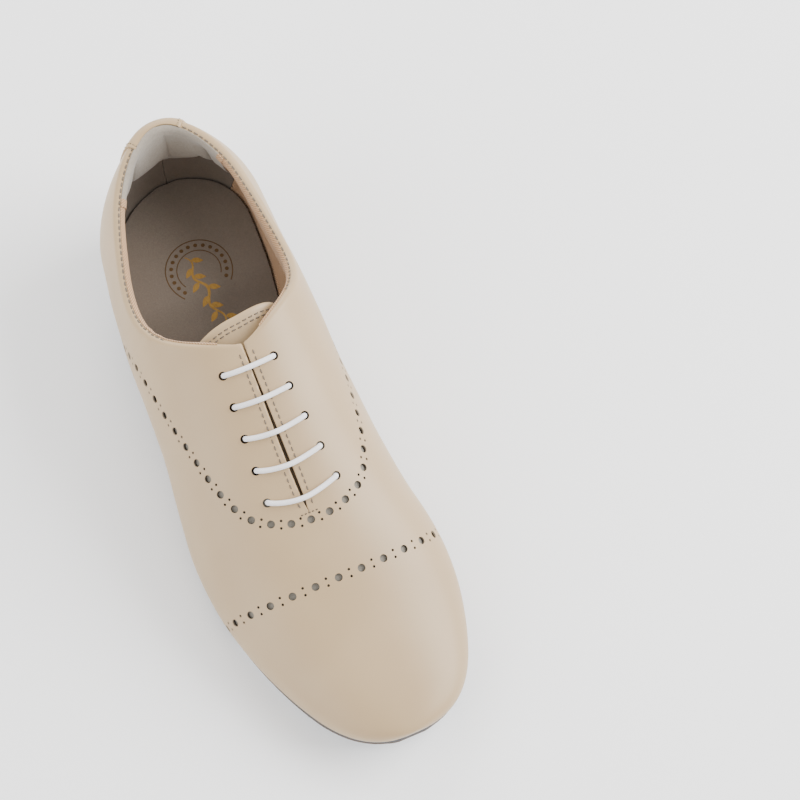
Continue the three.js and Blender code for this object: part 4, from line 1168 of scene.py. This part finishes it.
def stitches(name, lines, pitch, length, lift, body="root", thread=taupe_thread):
    """A row of stitches on each line of places, half sunk in the leather and lifted a little, with
    a pricked hole at both ends of each."""
    threads, pricks = [], []
    prick, prick_faces = revolved([(0, 0.05), (0.24, 0.04), (0.27, -0.1), (0, -0.15)], 8)
    for points, outs in lines:
        run = run_along(points)
        at = np.arange(pitch / 2, run[-1], pitch)
        centre = read_off(at, run, points)
        out = unit(read_off(at, run, outs))
        along = unit(read_off(at + 0.4, run, points) - read_off(at - 0.4, run, points))
        axes = np.stack([along, np.cross(out, along), out], 1)
        threads.append(repeated(*capsule(length), centre + lift * out, axes))
        for end in (-1, 1):
            spot = centre + end * (length / 2 + 0.05) * along
            pricks.append(repeated(prick, prick_faces[:, ::-1], spot, axes))
    for part, shapes, finish in ((name, threads, thread), (f"{name}_pricks", pricks, dark_hole)):
        fit(mesh_piece(part, *welded(*joined(shapes)), finish), (), body)


def facing_line(side):
    """A line beside the lace slit, a fixed distance from its edge."""
    places = [facing_place(l, side, 2.6 + slit_half_width(l)) for l in np.linspace(122.8, 190, 60)]
    return tuple(np.array(values) for values in zip(*places))


tack_l, tack_turn = np.full(12, 191.2), np.linspace(-0.05, 0.05, 12)
tack = over(tack_l, tack_turn), over_normal(tack_l, tack_turn)
stitches("facing_stitching", [facing_line(-1), facing_line(1)], 3.0, 1.45, 0.06)
stitches("facing_bar_tack", [tack], 1.7, 0.5, 0.05)

collar_lines = [(place[s, :PADDED + 6, EDGE + 5 + s], normal[s, :PADDED + 6, EDGE + 5 + s])
                for s in range(2)]
stitches("collar_stitching", collar_lines, 2.9, 1.5, 0.06)

tongue_lines = []
for inset in (3.0, 4.6):
    u = np.linspace(-0.93, 0.93, 120)
    l, turn = tongue_place(u, 0 * u, 0)
    l = l + inset
    out = over_normal(l, turn)
    tongue_lines.append((over(l, turn) - 7.86 * out, out))
stitches("tongue_stitching", tongue_lines, 3.0, 1.45, 0.05, "tongue_flap")

strap_lines = []
for s, side in enumerate(SIDES):
    spot = s, STRAP_END[side] - 1, slice(STRAP_FOOT + 2, EDGE + STRAP_FOLD)
    strap_lines.append((place[spot] - STRAP[0] * normal[spot], normal[spot]))
stitches("strap_stitching", strap_lines, 2.9, 1.5, 0.0, thread=ivory_thread)

# ------------------------------------------------------------------ bottom of the shoe

SOLE = 2.8             # thicknesses of the outsole, of the board over the toe tap and of the taps
TAP_BOARD = 1.4
TAP = 2.9
GAP = 0.3              # glue line between two pieces of the bottom, and clearance round a screw
TOE_TAP_REAR = 203.0   # back of the heel to the back edge of the toe tap
HEEL_BREAST = 62.0     # back of the heel to the front face of the heel block
TOP_PIECE_TOP = 8.7    # top of the rubber piece above the floor
HALF_TREAD = 60.0      # a taper of the border draws in what lies inside it by its share of this


def outline(outset):
    """The lasting edge seen from above, moved out by outset: x on each side, as functions of l."""
    ls = LENGTH * (1 - np.cos(np.pi * np.linspace(0, 1, 400))) / 2
    sides = []
    for side in (-1, 1):
        points = skin(ls, 0.0, side)
        along = np.gradient(points, axis=0)
        outward = unit(np.stack([-side * along[:, 1], side * along[:, 0], 0 * ls], -1))
        outward[0], outward[-1] = (0, 1, 0), (0, -1, 0)
        moved = points + outset * outward
        sides.append((HEEL_CENTRE - moved[:, 1], moved[:, 0]))
    return sides


def plate(name, coating, outset, top, bottom, start=-99.0, stop=999.0, corner=0.0, taper=0.0,
          edge=0.4, grooves=(), across=14, along=90):
    """A flat piece of the bottom that follows the outline. Its two faces are ruled across from
    side to side, and between them a band goes round the border through a rounded profile:
    quarter circles of radius edge, drawn in by taper at the bottom, with a small groove at each
    height share named. corner rounds off the ends in plan."""
    sides = outline(outset - edge)
    rear = max(start, sides[0][0][0] + 0.3)
    front = min(stop, sides[0][0][-1] - 0.3)
    ls = rear + (front - rear) * (1 - np.cos(np.pi * np.linspace(0, 1, along))) / 2
    far = 99 + 0 * ls
    to_end = np.minimum(ls - rear if start > -9 else far, front - ls if stop < LENGTH else far)
    drawn = corner * (1 - rounded_end((to_end + 0.01) / (corner + 0.01), 2))
    left = np.interp(ls, *sides[0]) + drawn
    right = np.interp(ls, *sides[1]) - drawn
    share = np.linspace(0, 1, across)
    x = left[:, None] + (right - left)[:, None] * share
    y = HEEL_CENTRE - ls[:, None] + 0 * x
    loop = border_of(along, across)
    rim = np.stack([x.ravel()[loop], y.ravel()[loop]], -1)
    tangent = np.roll(rim, -1, 0) - np.roll(rim, 1, 0)
    outward = unit(np.stack([-tangent[:, 1], tangent[:, 0]], -1))
    outward *= np.sign((outward * (rim - rim.mean(0))).sum())
    arc = np.linspace(0, QUARTER, 5)
    profile = [(edge * math.sin(a), 1.0, -edge * (1 - math.cos(a))) for a in arc]
    for groove in grooves:
        profile += [(edge, groove, 0.25), (edge - 0.22, groove, 0.0), (edge, groove, -0.25)]
    profile += [(edge * math.cos(a) - taper, 0.0, edge * (1 - math.sin(a))) for a in arc]
    l_rim = HEEL_CENTRE - rim[:, 1]
    high, low = top(l_rim), bottom(l_rim)
    rings = []
    for inset, level, rise in profile:
        spot = rim + inset * outward
        rings.append(np.stack([spot[:, 0], spot[:, 1], low + (high - low) * level + rise], -1))
    upper_face = np.stack([x, y, top(HEEL_CENTRE - y)], -1).reshape(-1, 3)
    lower = np.stack([x, y, bottom(HEEL_CENTRE - y)], -1).reshape(-1, 3)
    lower[loop] = rings[-1]
    inner = np.setdiff1d(np.arange(len(lower)), loop)
    lower[inner, 0] *= 1 - taper / HALF_TREAD
    count = len(loop)
    points = np.concatenate([*rings, upper_face, lower])
    base = len(rings) * count
    cells = quads(along, across)
    band = quads(len(rings), count, wrap=True)
    lower_cells = cells[:, ::-1] + base + len(upper_face)
    points, faces = welded(points, np.concatenate([band[:, ::-1], cells + base, lower_cells]))
    return facing_out(mesh_piece(name, points, faces, coating, sharp=50))


def above(height):
    """A surface at a fixed height over the lasting edge."""
    return lambda l: lasting_edge(l) + height


def level(height):
    """A level surface."""
    return lambda l: height + 0 * l


# Places of the screws (l, x, height of the tap's face), and how long they are.
TIP_SCREW_FACE = float(lasting_edge(262.0)) - SOLE - TAP_BOARD - TAP - 3 * GAP
SCREWS = {
    "heel": [(10, 0, 0.0), (46, -20, 0.0), (46, 20, 0.0)],
    "toe": [(214, -30, 0.0), (214, 32, 0.0), (262, 2, TIP_SCREW_FACE)],
}
SCREW_LENGTH = {"heel": 14, "toe": 6.2}
SCREW_BURY = 0.35      # the heads lie this far inside the face of the tap
HEAD, SHANK = 3.0, 1.3


def screw_profile(length, clearance=0.0):
    """Radius against height for a countersunk screw, head down, or for the hole that clears it."""
    head, shank, end = HEAD + clearance, SHANK + clearance, length + clearance
    low = -3.0 if clearance else SCREW_BURY
    return [(0, low), (head - 0.15, low), (head, low + 0.12), (head, SCREW_BURY + 0.3),
            (shank, SCREW_BURY + 1.9), (shank, end - 0.6), (0.2, end), (0, end)]


def screw_tools(kind, clearance):
    """All the screws of one tap, grown by a clearance."""
    centres = np.array([(x, HEEL_CENTRE - l, z) for l, x, z in SCREWS[kind]], float)
    axes = np.tile(np.eye(3), (len(centres), 1, 1))
    shape, faces = revolved(screw_profile(SCREW_LENGTH[kind], clearance), 28)
    return welded(*repeated(shape, faces, centres, axes))


def slot_tools(kind):
    """The screwdriver slots: bars 0.9 mm wide that cut 0.9 mm into each head, each at its own
    angle, as the screwdriver left them."""
    centres = np.array([(x, HEEL_CENTRE - l, z + SCREW_BURY) for l, x, z in SCREWS[kind]], float)
    turn = np.array([0.5, 1.9, 2.7])
    axes = np.stack([np.stack([np.cos(turn), np.sin(turn), 0 * turn], -1),
                     np.stack([-np.sin(turn), np.cos(turn), 0 * turn], -1),
                     np.tile((0, 0, 1.0), (3, 1))], 1)
    plan = ((-4, -0.45), (4, -0.45), (4, 0.45), (-4, 0.45))
    corners = np.array([(x, y, z) for z in (-1, 0.9) for x, y in plan], float)
    sides = np.array([(3, 2, 1, 0), (4, 5, 6, 7), (0, 1, 5, 4), (1, 2, 6, 5), (2, 3, 7, 6),
                      (3, 0, 4, 7)])
    points, faces = repeated(corners, sides, centres, axes)
    return points, [faces, np.zeros((0, 3), int)]


def cut_plain(piece, cutter):
    """Cuts a hard piece and keeps its crisp edges."""
    tool = facing_out(mesh_piece("drill", *cutter, piece.data.materials[0]))
    subtract(piece, tool, sharp=35)
    return piece


PAD_END = 62.0         # back of the heel to the front end of the heel cushion
INSOCK = 1.2           # thickness of the insock


def insock_lift(l):
    """Underside of the insock over the lasting edge: it steps down off the heel cushion."""
    return 3.9 + 2.3 * (1 - ease((l - PAD_END) / 16))


def insock_top(l):
    """The face the foot stands on."""
    return lasting_edge(l) + insock_lift(l) + INSOCK


insock = plate("insock_sheet", taupe_microfibre, -3.8, insock_top,
               lambda l: lasting_edge(l) + insock_lift(l), edge=0.35, across=24, along=260)
fit(insock, ["insock"])
insole_board = plate("insole_board_cut", fibre_insole, -5.5, above(3.6), above(1.7))
fit(insole_board, ["insole_board"])
heel_pad = plate("heel_cushion_pad", foam, -9.0, above(5.9), above(3.9),
                 start=-9.0, stop=PAD_END - 3, corner=14.0, edge=0.8)
fit(heel_pad, ["heel_cushion"])


def drilled(piece, kind, node):
    """A piece of the bottom with the clearance holes of one tap's screws, standing for its node."""
    fit(cut_plain(piece, screw_tools(kind, GAP)), [node])


outsole = plate("leather_outsole", sole_leather, 0.3, above(-GAP), above(-GAP - SOLE),
                edge=0.5, along=140)
drilled(outsole, "toe", "outsole")
board_top = -2 * GAP - SOLE
tap_board = plate("toe_tap_backing_board", fibre_board, 0.2, above(board_top),
                  above(board_top - TAP_BOARD), start=TOE_TAP_REAR - 2, corner=10.0, edge=0.25)
drilled(tap_board, "toe", "toe_tap_board")
tap_top = board_top - TAP_BOARD - GAP
toe_tap = plate("toe_tap_casting", tap_aluminium, -0.5, above(tap_top),
                lambda l: np.maximum(0, lasting_edge(l) + tap_top - TAP),
                start=TOE_TAP_REAR, corner=14.0, taper=0.5, edge=0.6)
drilled(toe_tap, "toe", "toe_tap")
heel_block = plate("stacked_heel_block", stacked_heel, 0.8, above(board_top),
                   level(TOP_PIECE_TOP + GAP), stop=HEEL_BREAST, taper=0.8, edge=0.4,
                   grooves=(0.8, 0.6, 0.4, 0.2))
drilled(heel_block, "heel", "heel_block")
top_piece = plate("rubber_top_piece", heel_rubber, 0.0, level(TOP_PIECE_TOP), level(TAP + GAP),
                  stop=HEEL_BREAST, edge=0.5, grooves=(0.5,))
drilled(top_piece, "heel", "heel_top_piece")
heel_tap = plate("heel_tap_casting", tap_aluminium, -0.8, level(TAP), level(0.0),
                 stop=HEEL_BREAST - 1.5, corner=3.0, taper=0.4, edge=0.5)
drilled(heel_tap, "heel", "heel_tap")
for kind in ("heel", "toe"):
    screws = facing_out(mesh_piece(f"{kind}_tap_screws", *screw_tools(kind, 0.0), steel, sharp=35))
    cut_plain(screws, slot_tools(kind))
    fit(screws, [f"{kind}_tap_screw_{i + 1}" for i in range(3)])

for name, finish in (("shank", steel), ("bottom_filler", cork)):
    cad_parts[name].data.materials.clear()
    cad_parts[name].data.materials.append(finish)

# ------------------------------------------------------------------ foil ornament on the insock


def ribbon(centre, radius, start, stop, width, steps):
    """A flat band along an arc of a circle, centre + r (cos, sin), as its two edges."""
    turn = np.linspace(start, stop, steps)
    rim = np.stack([np.cos(turn), np.sin(turn)], -1)
    return centre + (radius - width / 2) * rim, centre + (radius + width / 2) * rim


def foil_strip(edges):
    """A band between two edges, laid 0.05 mm proud of the insock and let 0.1 mm into it."""
    plan = np.stack(edges, 1)
    z = insock_top(HEEL_CENTRE - plan[..., 1])
    steps = len(plan)
    high = np.concatenate([plan, (z + 0.05)[..., None]], -1)
    low = np.concatenate([plan, (z - 0.1)[..., None]], -1)
    ring = np.stack([high[:, 0], high[:, 1], low[:, 1], low[:, 0]], 1)
    points = ring.reshape(-1, 3)
    faces = quads(steps, 4, wrap=True)
    last = (steps - 1) * 4
    ends = np.array([(3, 2, 1, 0), (last, last + 1, last + 2, last + 3)])
    return points, np.concatenate([faces, ends])


def foil_piece(name, strips, finish):
    """One piece made of many strips."""
    points, faces = joined(strips)
    fit(mesh_piece(name, points, [faces], finish, sharp=30))


EMBLEM = np.array([-1.3, -22.5])   # middle of the arcs, seen from above
arcs = [foil_strip(ribbon(EMBLEM, 15.3, -0.7, 3.9, 0.5, 120)),
        foil_strip(ribbon(EMBLEM, 10.1, -0.5, 3.7, 0.45, 90))]
for bearing in np.linspace(-0.6, 3.8, 17):
    spot = EMBLEM + 12.7 * np.array([math.cos(bearing), math.sin(bearing)])
    arcs.append(foil_strip(ribbon(spot, 0.5, 0.0, 6.28, 0.9, 9)))
foil_piece("foil_rings", arcs, bronze_foil)

# A plain sprig: a waving stem, 1.6 sin(2 pi n t), with a pointed leaf on each side in turn.
WAVES, SWING, LEAVES = 2.5, 1.6, 9
stem_from, stem_to = np.array([-5.0, -14.0]), np.array([0.5, -50.0])
axis = unit(stem_to - stem_from)
square = np.array([-axis[1], axis[0]])
t = np.linspace(0, 1, 90)[:, None]
stem = stem_from + t * (stem_to - stem_from) + SWING * np.sin(2 * np.pi * WAVES * t) * square
width = (0.25 + 0.45 * np.sin(np.pi * t)) * square
sprig = [foil_strip((stem - width, stem + width))]
t = np.linspace(0.02, 0.98, 16)[:, None]
for step in range(LEAVES):
    share = (step + 0.7) / 9.6
    hand = 1 if step % 2 == 0 else -1
    sway = SWING * math.sin(2 * math.pi * WAVES * share) + 0.5 * hand
    root = stem_from + share * (stem_to - stem_from) + sway * square
    point_way = unit(0.65 * axis + hand * square)
    leaf = (1.25 * np.sin(np.pi * t**0.8) + 0.05) * np.array([-point_way[1], point_way[0]])
    spine = root + 5.6 * t * point_way
    sprig.append(foil_strip((spine - leaf, spine + leaf)))
foil_piece("foil_sprig", sprig, gold_foil)

# ------------------------------------------------------------------ floor and studio light

FLOOR, FLOOR_REACH = -0.5, 3000   # just under the shoe, and three metres each way
floor_points = [(x * FLOOR_REACH, y * FLOOR_REACH, FLOOR) for y in (-1, 1) for x in (-1, 1)]
floor = mesh_piece("floor", floor_points, [np.array([(0, 1, 3, 2)])],
                   coating("pale_studio_floor", "fbfbfb", 0.95)[0])


def softbox(name, size, power, location, target=(0.0, -0.1, 0.04)):
    """A square area light aimed at the shoe."""
    light = bpy.data.lights.new(name, "AREA")
    light.shape = "SQUARE"
    light.size = size
    light.energy = power
    lamp = bpy.data.objects.new(name, light)
    lamp.location = location
    direction = Vector(target) - Vector(location)
    lamp.rotation_euler = direction.to_track_quat("-Z", "Y").to_euler()
    bpy.context.scene.collection.objects.link(lamp)


softbox("key", 1.4, 62.0, (1.35, -0.35, 1.0))
softbox("fill", 1.6, 24.0, (-1.5, -0.2, 0.8))
softbox("back", 1.4, 24.0, (0.2, 1.4, 0.9))
world = bpy.data.worlds.new("studio")
world.use_nodes = True
sky = world.node_tree.nodes["Background"]
sky.inputs["Color"].default_value = srgb("ffffff")
sky.inputs["Strength"].default_value = 1.2
bpy.context.scene.world = world
